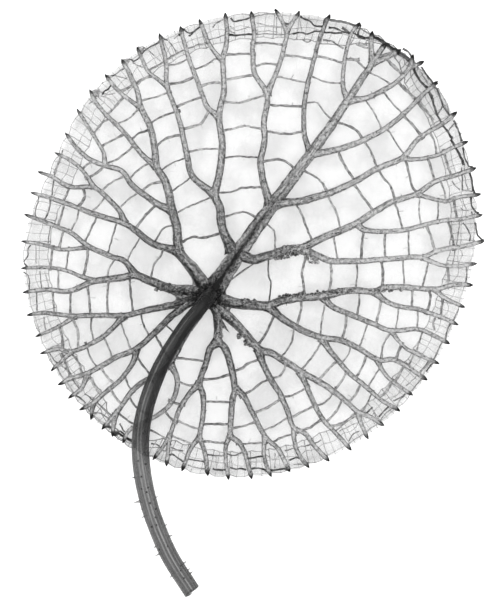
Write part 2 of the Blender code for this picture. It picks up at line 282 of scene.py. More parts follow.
def startMaterial(name, roughness, specular=0.3):
    made = bpy.data.materials.new(name)
    made.use_nodes = True
    tree = made.node_tree
    shader = tree.nodes["Principled BSDF"]
    shader.inputs["Roughness"].default_value = roughness
    shader.inputs["Specular IOR Level"].default_value = specular
    return made, tree, shader


def rampNode(tree, x, y, value, stops):
    ramp = addNode(tree, "ShaderNodeValToRGB", x, y)
    tree.links.new(value, ramp.inputs["Fac"])
    elements = ramp.color_ramp.elements
    while len(elements) < len(stops):
        elements.new(0.5)
    for element, (position, grey) in zip(elements, stops):
        element.position = position
        element.color = (grey, grey, grey, 1)
    return ramp.outputs["Color"]


def addBump(tree, shader, height, strength, distance):
    bump = addNode(tree, "ShaderNodeBump", 500, -400)
    bump.inputs["Strength"].default_value = strength
    bump.inputs["Distance"].default_value = distance
    tree.links.new(height, bump.inputs["Height"])
    tree.links.new(bump.outputs["Normal"], shader.inputs["Normal"])


# Ribs and veins share this: "dense" says how dark the tissue is at each place.
def fleshMaterial(name, fibre, stops, bump, **look):
    made, tree, shader = startMaterial(name, 0.6, 0.15)
    lines = groupNode(
        tree, fibre, 0, 0,
        Across=attribute(tree, "across", -300, 100), Along=attribute(tree, "along", -300, -100), **look,
    )
    thinness = mathNode(tree, "SUBTRACT", 0, 300, 1.0, attribute(tree, "dense", -300, 300))
    tone = mathNode(tree, "ADD", 200, 200, thinness, lines.outputs["Tone"])
    tree.links.new(rampNode(tree, 350, 200, tone, stops), shader.inputs["Base Color"])
    addBump(tree, shader, lines.outputs["Relief"], bump, 0.0006)
    return made


def sheetMaterial(tissue):
    made, tree, shader = startMaterial("leafSheet", 0.5, 0.25)
    film = groupNode(tree, tissue, 0, 0, Cloud_Size=26.0, Net_Size=95.0, Net=0.25, Grain=0.5)
    rim = attribute(tree, "rimShare", -200, 450)
    fold = attribute(tree, "foldShare", -200, 600)
    body = mathNode(tree, "MULTIPLY_ADD", 250, 100, film.outputs["Density"], sheet["cloudAlpha"])
    tree.nodes[-1].inputs[2].default_value = sheet["alpha"]
    thinner = mathNode(tree, "MULTIPLY", 400, 450, rim, sheet["rimAlpha"])
    body = mathNode(tree, "ADD", 550, 200, body, thinner)
    crowded = mathNode(tree, "MULTIPLY", 550, 450, fold, sheet["foldAlpha"])
    body = mathNode(tree, "ADD", 700, 200, body, crowded)
    tree.links.new(body, shader.inputs["Alpha"])
    tree.links.new(
        rampNode(tree, 300, 600, mathNode(tree, "SUBTRACT", 150, 600, 0.6, film.outputs["Density"]),
                 ((0.1, 0.22), (0.9, 0.5))),
        shader.inputs["Base Color"],
    )
    addBump(tree, shader, film.outputs["Relief"], 0.25, 0.0004)
    return made


def stalkMaterial(fibre):
    made, tree, shader = startMaterial("stalkFlesh", 0.45, 0.3)
    across = attribute(tree, "across", -500, 100)
    lines = groupNode(
        tree, fibre, -100, 0, Across=across, Along=attribute(tree, "along", -500, -100),
        Walls=0.12, Wall_Start=0.72, Streaks=0.26, Streak_Count=8.0, Mottle=0.06, Specks=0.10,
    )
    # two paler air canals run along it, each from its own start on to the cut
    canals = 0.0
    for near, far, width, start in stalk["canals"]:
        run = attribute(tree, "along", -700, 400)
        side = rangeNode(tree, -500, 400, run, 170, 300, near, far)
        away = mathNode(tree, "ABSOLUTE", -200, 300, mathNode(tree, "SUBTRACT", -350, 300, across, side))
        pale = rangeNode(tree, 0, 300, away, 0.3 * width, width, stalk["canalTone"], 0.0)
        pale = mathNode(tree, "MULTIPLY", 50, 450, pale, rangeNode(tree, -200, 550, run, start, start + 25))
        canals = mathNode(tree, "ADD", 100, 300, pale, canals)
    thinness = mathNode(tree, "SUBTRACT", 0, 500, 1.0, attribute(tree, "dense", -300, 500))
    thinness = mathNode(tree, "ADD", 200, 350, thinness, canals)
    tone = mathNode(tree, "ADD", 200, 200, thinness, lines.outputs["Tone"])
    tree.links.new(rampNode(tree, 400, 200, tone, ((0.0, 0.005), (0.5, 0.055), (1.0, 0.20))),
                   shader.inputs["Base Color"])
    tree.links.new(rangeNode(tree, 400, 450, tone, 0.0, 1.1, stalk["alphaDark"], stalk["alphaLight"]),
                   shader.inputs["Alpha"])
    addBump(tree, shader, lines.outputs["Relief"], 0.4, 0.0008)
    return made


# Meshes
def newBody():
    bm = bmesh.new()
    layers = {name: bm.verts.layers.float.new(name) for name in ("across", "along", "dense")}
    return bm, layers


def skin(bm, layers, rings):
    # rings: lists of (point, across, along, dense), closed at both ends
    made = []
    for ring in rings:
        row = []
        for point, across, along, dense in ring:
            vertex = bm.verts.new(point)
            vertex[layers["across"]] = across
            vertex[layers["along"]] = along
            vertex[layers["dense"]] = dense
            row.append(vertex)
        made.append(row)
    for near, far in zip(made, made[1:]):
        for i, vertex in enumerate(near):
            j = (i + 1) % len(near)
            bm.faces.new((vertex, near[j], far[j], far[i]))
    bm.faces.new(made[0][::-1])
    bm.faces.new(made[-1])


def finishBody(name, bm, material, nodes=()):
    bmesh.ops.recalc_face_normals(bm, faces=bm.faces)
    mesh = bpy.data.meshes.new(name)
    bm.to_mesh(mesh)
    bm.free()
    mesh.shade_smooth()
    piece = bpy.data.objects.new(name, mesh)
    piece.data.materials.append(material)
    bpy.context.collection.objects.link(piece)
    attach(piece, "root")
    if nodes:
        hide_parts(*nodes)
    return piece


def smoothRoute(points, step):
    # a curve through the points, read off about every step millimetres
    points = [Vector(point) for point in points]
    out = []
    for i in range(len(points) - 1):
        here, there = points[i], points[i + 1]
        before = points[i - 1] if i else here + (here - there)
        beyond = points[i + 2] if i + 2 < len(points) else there + (there - here)
        length = (there - here).length
        leave = (there - before) * (length / ((here - before).length + length))
        arrive = (beyond - here) * (length / ((beyond - there).length + length))
        count = max(1, round(length / step))
        for k in range(count):
            t = k / count
            out.append(
                here * (2 * t**3 - 3 * t**2 + 1) + leave * (t**3 - 2 * t**2 + t)
                + there * (3 * t**2 - 2 * t**3) + arrive * (t**3 - t**2)
            )
    out.append(points[-1])
    return out


def lengthsOf(centres):
    runs = [0.0]
    for here, there in zip(centres, centres[1:]):
        runs.append(runs[-1] + (there - here).length)
    return runs


def headingAt(centres, i):
    return (centres[min(i + 1, len(centres) - 1)] - centres[max(i - 1, 0)]).normalized()


# The leaf's outline: the fold where the blade turns down into its rim.
outline = {
    "step": 20,
    "radii": (278, 288, 302, 302, 292, 285, 279, 273, 269, 285, 290, 294, 296, 294, 287, 279, 273, 271),
    "fold": ((8.0, 0.0), (2.3, 2.2), (0.0, 7.0)),  # inset and drop of the rounded margin
    "bend": 0.45,  # the share of the rim's lean and height at its bend
    "notchHalfAngle": 13.0,
    "lean": 31.0,
    "notchLean": 6.0,
    "notchLift": 9.0,
}


def foldRadius(angle):
    radii = outline["radii"]
    spot = (angle % 360) / outline["step"]
    i = int(spot)
    t = spot - i
    before, here, after, beyond = (radii[(i + k) % len(radii)] for k in (-1, 0, 1, 2))
    return here + 0.5 * t * (
        after - before
        + t * (2 * before - 5 * here + 4 * after - beyond + t * (3 * (here - after) + beyond - before))
    )


def notchShare(angle, halfAngle=None):
    halfAngle = halfAngle or outline["notchHalfAngle"]
    ends = (leaf["longAxis"], leaf["longAxis"] + 180)
    nearest = min(abs((angle - end + 180) % 360 - 180) for end in ends)
    return 0.5 + 0.5 * math.cos(math.pi * min(nearest / halfAngle, 1.0))


# Ribs: width at the start and at the margin, the route to the spur's tip, and twigs.
ribs = {
    "midrib": (26, 8, ((-54, -66), (-20, -15), (12, 30), (30, 55), (60, 95), (100, 150), (120, 181),
                       (150, 226), (167, 252)),
               (((150, 226), (148, 250), (150, 266)), ((150, 226), (169, 233), (186, 243)))),
    "hub_rib_1": (15, 6.5, ((-54, -66), (-20, -75), (0, -77), (20, -78), (35, -72), (60, -68), (88, -66),
                            (120, -59), (153, -60), (165, -55), (190, -55), (230, -57), (250, -52),
                            (276, -52)),
                  (((228, -57), (240, -68), (266, -80)),)),
    "hub_rib_7": (17, 6.5, ((-54, -66), (-72, -35), (-85, -20), (-92, -10), (-95, 20), (-101, 42),
                            (-108, 75), (-120, 96), (-122, 115), (-128, 145), (-140, 171), (-144, 190),
                            (-152, 208), (-164, 231)),
                  (((-139, 169), (-160, 184), (-172, 195), (-185, 212)),)),
    "hub_rib_3": (13, 6.5, ((-54, -66), (-45, -85), (-43, -105), (-43, -122), (-35, -130), (-28, -150),
                            (-22, -182), (-25, -195), (-27, -220), (-27, -240), (-16, -250), (-8, -267),
                            (-1, -295)),
                  (((-27, -238), (-33, -252), (-34, -266), (-32, -283), (-30, -296)),)),
    "hub_rib_6": (15, 6, ((-54, -66), (-70, -60), (-100, -57), (-125, -48), (-147, -40), (-165, -43),
                          (-200, -48), (-230, -60), (-255, -58), (-288, -61)),
                  (((-198, -47), (-215, -41), (-235, -33), (-260, -30), (-290, -31)),)),
    "hub_rib_2": (14, 6.5, ((-54, -66), (-38, -85), (-25, -97), (-10, -112), (8, -132), (25, -138),
                            (45, -150), (60, -160), (90, -177), (105, -188), (120, -200), (132, -211),
                            (145, -216), (165, -228)),
                  (((131, -210), (136, -226), (145, -245)),)),
    "hub_rib_5": (11, 6, ((-54, -66), (-75, -70), (-100, -77), (-130, -83), (-160, -90), (-200, -90),
                          (-222, -91), (-260, -87), (-283, -90)),
                  (((-221, -91), (-245, -105), (-272, -117)),)),
    "hub_rib_4": (12, 6.5, ((-54, -66), (-70, -92), (-88, -120), (-103, -150), (-120, -165), (-135, -172),
                            (-150, -184), (-165, -205), (-173, -215), (-189, -233)),
                  (((-171, -212), (-176, -242)),)),
    "left_rib_1": (14, 6.5, ((-25, -10), (-38, 20), (-41, 45), (-47, 61), (-41, 90), (-38, 125),
                             (-42, 158), (-36, 190), (-37, 230), (-32, 255), (-34, 289)),
                   (((-37, 228), (-52, 245), (-67, 281)),)),
    "left_rib_2": (11, 6.5, ((22, 48), (14, 75), (10, 100), (15, 130), (14, 150), (18, 186), (3, 212),
                             (0, 240), (2, 262), (-2, 291)), ()),
    "left_rib_3": (8, 6, ((72, 112), (65, 135), (64, 160), (66, 185), (78, 235), (85, 260), (97, 287)), ()),
    "left_rib_4": (7, 5.5, ((119, 180), (113, 196), (114, 220), (118, 245), (125, 265), (134, 277)), ()),
    "right_rib_1": (14, 6.5, ((-18, -12), (0, -20), (20, -15), (45, -8), (60, -6), (95, 10), (115, 18),
                              (130, 25), (150, 38), (175, 52), (205, 62), (228, 77), (262, 88), (280, 95)),
                    (((203, 62), (240, 53), (255, 57), (286, 62)),)),
    "right_rib_2": (12, 6.5, ((28, 50), (60, 53), (95, 63), (125, 76), (155, 93), (188, 108), (205, 128),
                              (220, 140), (235, 148), (256, 165)),
                    (((186, 107), (205, 105), (230, 110), (250, 120), (270, 128)),)),
    "right_rib_3": (10, 6.5, ((72, 112), (90, 114), (115, 120), (140, 130), (165, 143), (190, 163),
                              (215, 188), (232, 203)), ()),
    "right_rib_4": (9, 6, ((119, 179), (140, 181), (160, 190), (180, 202), (197, 219), (215, 228)),
                    (((196, 218), (201, 237)),)),
    "left_rib_1_branch_1": (10, 6, ((-47, 61), (-75, 84), (-82, 110), (-92, 155), (-107, 198),
                                    (-108, 225), (-117, 263)),
                            (((-106, 196), (-130, 215), (-145, 246)),)),
    "left_rib_1_branch_2": (8, 6, ((-42, 158), (-56, 170), (-68, 200), (-80, 232), (-91, 272)), ()),
    "left_rib_2_branch_1": (8, 6, ((18, 186), (32, 220), (40, 248), (42, 266), (28, 294)),
                            (((42, 264), (59, 291)),)),
    "right_rib_1_branch_1": (8, 6, ((130, 25), (140, 17), (165, 15), (190, 17), (235, 28), (258, 30),
                                    (288, 36)), ()),
    "right_rib_1_branch_2": (10, 6.5, ((60, -6), (85, -17), (100, -22), (130, -22), (165, -20),
                                       (200, -17), (213, -17), (235, -8), (260, -4), (290, 3)),
                             (((211, -17), (240, -28), (260, -28), (281, -25)),)),
    "hub_rib_1_branch_1": (8, 6, ((153, -60), (163, -70), (180, -78), (205, -82), (230, -90), (258, -102)),
                           ()),
    "hub_rib_1_branch_2": (9, 6, ((88, -66), (98, -78), (125, -90), (150, -100), (173, -109), (205, -107),
                                  (220, -112), (247, -126)),
                           (((172, -108), (190, -130), (205, -138), (234, -151)),)),
    "hub_rib_1_branch_3": (11, 6.5, ((20, -78), (35, -92), (55, -105), (86, -118), (110, -121),
                                     (130, -130), (158, -146), (175, -145), (190, -152), (205, -162),
                                     (219, -171)),
                           (((156, -145), (161, -157), (170, -168), (185, -180), (201, -190)),)),
    "hub_rib_1_branch_4": (8.5, 6, ((86, -118), (100, -138), (122, -163), (140, -178), (160, -195),
                                    (185, -210)), ()),
    "hub_rib_2_branch_1": (8.5, 6, ((60, -160), (70, -185), (78, -203), (88, -220), (100, -233),
                                    (124, -259)), ()),
    "hub_rib_2_branch_2": (10, 6.5, ((8, -132), (12, -148), (22, -168), (35, -190), (45, -213),
                                     (52, -231), (65, -237), (75, -250), (96, -273)),
                           (((52, -229), (52, -245), (57, -262), (71, -281)),)),
    "hub_rib_3_branch_1": (8.5, 6.5, ((-22, -182), (-12, -190), (0, -212), (17, -243), (32, -257),
                                      (47, -286)),
                           (((16, -241), (14, -256), (15, -269), (18, -280), (24, -292)),)),
    "hub_rib_3_branch_2": (10, 6.5, ((-43, -122), (-53, -132), (-58, -148), (-66, -175), (-62, -190),
                                     (-62, -215), (-66, -243), (-60, -260), (-56, -291)),
                           (((-65, -241), (-75, -253), (-89, -285)),)),
    "hub_rib_3_branch_3": (8, 6, ((-66, -175), (-79, -188), (-90, -205), (-97, -222), (-103, -240),
                                  (-108, -279)),
                           (((-102, -238), (-112, -254), (-125, -271)),)),
    "hub_rib_4_branch_1": (8, 6, ((-103, -150), (-94, -172), (-101, -198), (-118, -214), (-140, -225),
                                  (-155, -235), (-163, -250)),
                           (((-139, -225), (-148, -256)),)),
    "hub_rib_5_branch_1": (8, 6, ((-160, -90), (-188, -117), (-228, -136), (-242, -132), (-266, -138)),
                           (((-226, -135), (-253, -160)),)),
    "hub_rib_5_branch_2": (11, 6.5, ((-75, -70), (-100, -90), (-125, -114), (-146, -132), (-170, -142),
                                     (-192, -155), (-208, -163), (-225, -168), (-244, -177)),
                           (((-206, -162), (-214, -181), (-231, -194)),)),
    "hub_rib_5_branch_3": (8, 6, ((-146, -132), (-148, -145), (-162, -167), (-185, -187), (-200, -200),
                                  (-217, -209)),
                           (((-199, -199), (-203, -221)),)),
    "hub_rib_6_branch_1": (9, 6, ((-147, -40), (-160, -22), (-175, -17), (-206, -3), (-225, 12),
                                  (-255, 25), (-286, 37)),
                           (((-204, -4), (-240, -8), (-260, -2), (-290, 3)),)),
    "hub_rib_7_branch_1": (11, 6, ((-92, -10), (-125, 0), (-145, 15), (-160, 25), (-190, 34), (-220, 45),
                                   (-250, 56), (-278, 64)), ()),
    "hub_rib_7_branch_2": (8, 6, ((-160, 25), (-168, 43), (-185, 60), (-199, 70), (-230, 71), (-250, 83),
                                  (-269, 90)),
                           (((-198, 69), (-213, 92), (-230, 105), (-248, 114)),)),
    "hub_rib_7_branch_3": (10, 6, ((-101, 42), (-115, 47), (-130, 57), (-150, 72), (-163, 90), (-187, 98),
                                   (-205, 106), (-222, 122), (-235, 139)),
                           (((-185, 97), (-186, 112), (-192, 124), (-205, 145), (-220, 169)),)),
    "hub_rib_7_branch_4": (8, 6, ((-120, 96), (-137, 110), (-160, 138), (-183, 161), (-197, 178),
                                  (-204, 193)), ()),
}

# Cross veins, each from one rib to its neighbour.
crossRoutes = (
    ((-188, 122), (-175, 129), (-164, 135)), ((-198, 138), (-190, 149), (-181, 155)),
    ((-152, 130), (-143, 137), (-131, 141)), ((-172, 149), (-155, 156), (-144, 167)),
    ((-183, 160), (-172, 170), (-163, 181)), ((-121, 121), (-108, 131), (-90, 136)),
    ((-128, 150), (-113, 159), (-93, 165)), ((-141, 178), (-125, 182), (-104, 189)),
    ((-163, 191), (-147, 199), (-138, 205), (-126, 209)),
    ((-127, 218), (-112, 226), (-88, 241), (-60, 250)), ((-108, 222), (-90, 226), (-80, 232)),
    ((-105, 199), (-88, 202), (-72, 209)), ((-78, 115), (-60, 118), (-40, 118)),
    ((-84, 144), (-65, 150), (-55, 165)), ((-92, 172), (-78, 178), (-63, 183)),
    ((-66, 196), (-50, 201), (-36, 199)), ((-73, 218), (-58, 223), (-48, 230), (-38, 231)),
    ((-38, 141), (-22, 144), (-10, 147), (0, 145), (15, 143)),
    ((-36, 177), (-18, 176), (-5, 179), (17, 186)), ((-34, 205), (-15, 208), (3, 211)),
    ((-34, 236), (-15, 237), (1, 237)), ((15, 141), (30, 138), (45, 137), (63, 140)),
    ((17, 173), (40, 172), (64, 171)), ((30, 209), (48, 205), (70, 201)), ((3, 221), (15, 225), (32, 223)),
    ((38, 235), (55, 234), (76, 230)), ((0, 250), (15, 251), (40, 248)),
    ((66, 175), (80, 176), (88, 166), (100, 153)), ((72, 210), (85, 204), (97, 201), (113, 200)),
    ((79, 234), (95, 231), (114, 225)), ((104, 152), (120, 147), (130, 141), (138, 130)),
    ((117, 230), (128, 229), (142, 217)), ((144, 214), (160, 207), (172, 199)),
    ((140, 181), (152, 163), (162, 142)), ((163, 190), (175, 175), (189, 161)),
    ((168, 144), (180, 125), (190, 111)), ((188, 161), (203, 145), (212, 133)),
    ((182, 202), (195, 188), (207, 179)), ((207, 180), (220, 163), (228, 146)),
    ((221, 139), (227, 128), (230, 112)), ((107, 117), (112, 103), (127, 79)),
    ((139, 129), (149, 113), (155, 94)), ((168, 230), (178, 218), (190, 212)),
    ((157, 93), (165, 80), (172, 73), (178, 53)), ((126, 76), (135, 62), (143, 52), (151, 39)),
    ((66, 90), (80, 82), (87, 76), (93, 63)), ((92, 62), (99, 50), (105, 38), (110, 17)),
    ((101, 11), (103, -3), (107, -21)), ((191, 107), (196, 85), (199, 72), (206, 63)),
    ((219, 107), (224, 92), (228, 78)), ((239, 115), (245, 95), (249, 84)),
    ((178, 52), (183, 35), (188, 17)), ((209, 60), (208, 40), (211, 22)), ((232, 54), (232, 40), (231, 27)),
    ((234, 79), (240, 65), (241, 53)), ((139, 18), (137, 0), (136, -21)), ((166, 15), (165, 0), (166, -20)),
    ((195, 18), (195, 0), (196, -17)), ((218, 22), (223, 8), (228, -11)), ((244, 29), (249, 12), (252, -6)),
    ((252, 56), (254, 40), (256, 30)), ((130, -22), (131, -38), (128, -58)),
    ((161, -20), (163, -38), (162, -55)), ((188, -18), (189, -38), (190, -55)),
    ((220, -22), (216, -40), (212, -56)), ((243, -28), (245, -40), (243, -54)),
    ((98, -21), (98, -45), (95, -64)), ((133, -60), (133, -75), (130, -92)),
    ((161, -68), (158, -85), (154, -101)), ((200, -56), (199, -81)), ((221, -57), (222, -72), (217, -86)),
    ((238, -70), (235, -92)), ((183, -79), (181, -95), (179, -107)), ((207, -82), (206, -107)),
    ((118, -87), (116, -105), (111, -121)), ((144, -98), (139, -115), (133, -131)),
    ((123, -126), (120, -138), (111, -150)), ((143, -138), (138, -152), (129, -168)),
    ((118, -160), (110, -174), (100, -186)), ((136, -174), (128, -190), (119, -199)),
    ((113, -194), (103, -212), (92, -223)), ((174, -110), (164, -125), (161, -144)),
    ((186, -126), (181, -140), (178, -146)), ((159, -155), (152, -167), (144, -180)),
    ((213, -109), (208, -124), (204, -137)), ((202, -137), (195, -153)),
    ((190, -152), (182, -166), (178, -173)), ((223, -146), (215, -155), (208, -163)),
    ((175, -172), (165, -188), (158, -192)), ((150, -186), (140, -206), (134, -213)),
    ((103, -182), (92, -198), (78, -203)), ((106, -147), (95, -157), (82, -172)),
    ((87, -120), (78, -137), (70, -147), (60, -160)), ((52, -104), (48, -125), (34, -144)),
    ((60, -68), (61, -80), (57, -97), (54, -105)), ((92, -70), (88, -90), (84, -117)),
    ((28, -86), (18, -110), (6, -128)), ((96, -228), (110, -226), (130, -214)),
    ((58, -235), (72, -230), (87, -219)), ((-96, -143), (-78, -145), (-57, -148)),
    ((-94, -172), (-82, -177), (-70, -178)), ((-103, -197), (-95, -200), (-87, -202)),
    ((-66, -170), (-47, -169), (-26, -163)), ((-62, -198), (-45, -198), (-25, -199)),
    ((-63, -226), (-45, -226), (-27, -226)), ((-64, -247), (-45, -249), (-33, -250)),
    ((-96, -220), (-80, -228), (-65, -233)), ((-103, -239), (-90, -245), (-75, -251)),
    ((-26, -159), (-15, -157), (-5, -150), (10, -144)), ((-14, -191), (0, -183), (10, -175), (24, -169)),
    ((1, -212), (15, -207), (25, -201), (37, -193)), ((12, -234), (28, -228), (46, -216)),
    ((-27, -231), (-10, -228), (5, -222)), ((-18, -251), (0, -250), (16, -249)),
    ((24, -250), (38, -242), (52, -239)), ((20, -168), (32, -167), (38, -160), (43, -149)),
    ((35, -192), (50, -190), (69, -179)), ((46, -219), (63, -210), (78, -203)),
    ((-110, -210), (-103, -218), (-96, -223)), ((-128, -233), (-115, -240), (-104, -246)),
    ((-249, 84), (-240, 107)), ((-229, 71), (-233, 60), (-238, 52)), ((-212, 70), (-210, 58), (-218, 46)),
    ((-185, 97), (-195, 88), (-207, 82)), ((-213, 93), (-205, 100), (-196, 102)),
    ((-184, 58), (-195, 45), (-203, 38)), ((-189, 64), (-180, 74), (-160, 84)),
    ((-168, 42), (-155, 55), (-141, 65)), ((-155, 79), (-143, 92), (-124, 104)),
    ((-183, 100), (-168, 106), (-150, 121)), ((-147, 18), (-133, 36), (-120, 48)),
    ((-140, 64), (-125, 75), (-107, 77)), ((-118, 88), (-103, 99), (-83, 107)),
    ((-105, 62), (-90, 73), (-77, 83)), ((-122, 2), (-112, 18), (-96, 24)),
    ((-236, 49), (-238, 38), (-243, 23)), ((-217, 44), (-220, 30), (-228, 15)),
    ((-194, 35), (-202, 18), (-210, 2)), ((-169, 28), (-174, 12), (-181, -12)), ((-236, 17), (-242, -5)),
    ((-139, 10), (-150, -8), (-158, -24)), ((-111, -4), (-115, -16), (-123, -26), (-128, -46)),
    ((-206, -4), (-207, -22), (-212, -41)), ((-171, -18), (-180, -33), (-182, -45)),
    ((-230, -7), (-233, -33)), ((-250, -5), (-253, -31)), ((-243, -32), (-243, -59)),
    ((-207, -51), (-204, -70), (-203, -90)), ((-180, -46), (-182, -70), (-181, -90)),
    ((-154, -42), (-152, -65), (-149, -88)), ((-228, -60), (-228, -90)), ((-250, -59), (-248, -88)),
    ((-201, -90), (-202, -105), (-198, -122)), ((-225, -95), (-219, -108), (-218, -132)),
    ((-242, -104), (-238, -118), (-238, -132)), ((-166, -96), (-158, -118), (-152, -134)),
    ((-187, -116), (-180, -130), (-175, -144)), ((-208, -126), (-203, -142), (-194, -155)),
    ((-228, -137), (-218, -148), (-213, -164)), ((-140, -85), (-137, -100), (-128, -117)),
    ((-110, -100), (-100, -110), (-90, -121)), ((-123, -112), (-115, -127), (-103, -146)),
    ((-146, -140), (-137, -153), (-126, -167)), ((-190, -154), (-183, -166), (-172, -176)),
    ((-160, -164), (-155, -178), (-149, -184)), ((-178, -181), (-172, -192), (-163, -201)),
    ((-205, -162), (-198, -178), (-189, -190)), ((-155, -190), (-146, -204), (-135, -212)),
    ((-197, -197), (-187, -206), (-176, -216)), ((-170, -210), (-158, -220), (-145, -228)),
    ((-238, -140), (-230, -160), (-227, -169)), ((-225, -168), (-215, -182)),
    ((-98, 36), (-80, 46), (-65, 52), (-47, 60)), ((-91, 0), (-75, 8), (-62, 7), (-35, 14)),
    ((-38, 32), (-20, 38), (-10, 39), (8, 31)), ((-46, 63), (-25, 65), (-15, 69), (-3, 70), (13, 70)),
    ((-39, 106), (-20, 109), (-5, 108), (11, 107)), ((10, 101), (30, 105), (42, 102), (54, 92)),
    ((14, 26), (26, 17), (28, 5), (28, -12)), ((54, 50), (62, 35), (68, 18), (75, 3)),
    ((20, -15), (20, -40), (23, -50), (20, -76)), ((68, -12), (62, -35), (63, -48), (66, -66)),
)


def spurTips():
    tips = []
    for _, _, route, twigs in ribs.values():
        tips += [route[-1]] + [twig[-1] for twig in twigs]
    return sorted(math.degrees(math.atan2(y, x)) % 360 for x, y in tips)


spurAngles = spurTips()


def spurBay(angle):
    # 0 at a spur, 1 half way to the next one
    for here, there in zip(spurAngles, spurAngles[1:] + [spurAngles[0] + 360]):
        for turn in (0, 360):
            if here <= angle + turn <= there:
                return math.sin(math.pi * (angle + turn - here) / max(there - here, 0.1))
    return 0.0


# The blade: one thin sheet, quilted between its veins, folded over into the rim.
sheet = {
    "around": 408,
    "rings": 74,
    "rimRings": 16,
    "thickness": 0.7,
    "puff": 3.2,
    "puffReach": 13.0,
    "bayBulge": 2.1,
    "crumple": 1.1,
    "notchCrumple": 3.0,
    "alpha": 0.225,
    "cloudAlpha": 0.028,
    "rimAlpha": -0.205,
    "foldAlpha": 0.12,
    # how crowded the fold is, by direction in degrees
    "crowding": ((0, 0.5), (25, 0.9), (50, 1.0), (90, 1.0), (120, 0.6), (150, 0.3), (200, 0.3),
                 (235, 0.9), (270, 0.65), (320, 0.5), (360, 0.5)),
}


def crowdingAt(angle):
    table = sheet["crowding"]
    for (near, first), (far, last) in zip(table, table[1:]):
        if angle <= far:
            return blend(first, last, (angle - near) / (far - near))
    return table[-1][1]


def veinTree():
    routes = [route for _, _, route, _ in ribs.values()]
    routes += [twig for _, _, _, twigs in ribs.values() for twig in twigs]
    spots = [spot for route in routes + list(crossRoutes) for spot in smoothRoute(route, 3.0)]
    tree = kdtree.KDTree(len(spots))
    for i, spot in enumerate(spots):
        tree.insert((spot.x, spot.y, 0.0), i)
    tree.balance()
    return tree


veins = veinTree()


def rimPoint(angle, share, lift=0.0):
    # share 0 where the fold starts on the flat, 1 at the rim's edge; lift is along the outside normal
    notch = notchShare(angle)
    lean = blend(outline["lean"], outline["notchLean"], notch)
    edge = outline["notchLift"] * notch
    top = leaf["sheetTop"]
    bend = outline["bend"]
    corners = [(inset, top - drop) for inset, drop in outline["fold"]]
    corners += [(bend * lean, blend(edge, top, bend)), (lean, edge)]
    spot = min(share, 0.9999) * 4
    i = int(spot)
    t = spot - i
    t = blend(t, t * t * (3 - 2 * t), 0.3)
    inset, height = (blend(a, b, t) for a, b in zip(corners[i], corners[i + 1]))
    rise = (corners[i + 1][0] - corners[i][0], corners[i + 1][1] - corners[i][1])
    size = math.hypot(*rise)
    outward, upward = -rise[1] / size, -rise[0] / size
    radius = foldRadius(angle) + sheet["bayBulge"] * spurBay(angle) * ease(0.0, 0.4, share)
    rough = blend(sheet["crumple"], sheet["notchCrumple"], notchShare(angle, 26)) * ease(0.25, 0.9, share)
    way = (math.cos(math.radians(angle)), math.sin(math.radians(angle)))
    push = rough * drift(way[0] * 290, way[1] * 290, height * 1.4, 13.0) + lift
    radius += push * outward - inset
    height = max(height + push * upward, 0.4)
    return way[0] * radius, way[1] * radius, height


def sheetPoint(angle, share):
    radius = (foldRadius(angle) - outline["fold"][0][0]) * share
    x, y = radius * math.cos(math.radians(angle)), radius * math.sin(math.radians(angle))
    near = veins.find((x, y, 0.0))[2]
    hollow = ease(1.5, sheet["puffReach"], near) * ease(1.0, 0.93, share)
    z = leaf["sheetTop"] - 0.5 - sheet["puff"] * hollow + 0.5 * drift(x, y, 3.0, 9.0) * hollow
    return x, y, z


def makeSheet(material):
    bm = bmesh.new()
    rimLayer = bm.verts.layers.float.new("rimShare")
    foldLayer = bm.verts.layers.float.new("foldShare")
    middle = bm.verts.new(place(0, 0, sheetPoint(0, 0)[2]))
    rows = []
    for i in range(1, sheet["rings"] + sheet["rimRings"] + 1):
        row = []
        for k in range(sheet["around"]):
            angle = 360 * k / sheet["around"]
            if i <= sheet["rings"]:
                point = sheetPoint(angle, i / sheet["rings"])
                rim = 0.0
            else:
                rim = (i - sheet["rings"]) / sheet["rimRings"]
                point = rimPoint(angle, rim)
            vertex = bm.verts.new(place(*point))
            vertex[rimLayer] = ease(0.0, 0.3, rim) * blend(0.78, 1.0, ease(0.5, 0.72, rim))
            vertex[foldLayer] = crowdingAt(angle) * ease(0.0, 0.12, rim) * ease(0.80, 0.55, rim)
            row.append(vertex)
        rows.append(row)
    for k in range(sheet["around"]):
        bm.faces.new((middle, rows[0][k], rows[0][(k + 1) % sheet["around"]]))
    for near, far in zip(rows, rows[1:]):
        for k, vertex in enumerate(near):
            j = (k + 1) % len(near)
            bm.faces.new((vertex, far[k], far[j], near[j]))
    piece = finishBody("leaf_sheet", bm, material, ("blade",))
    thick = piece.modifiers.new("thickness", "SOLIDIFY")
    thick.thickness = sheet["thickness"] * mm
    thick.offset = -1
    return piece


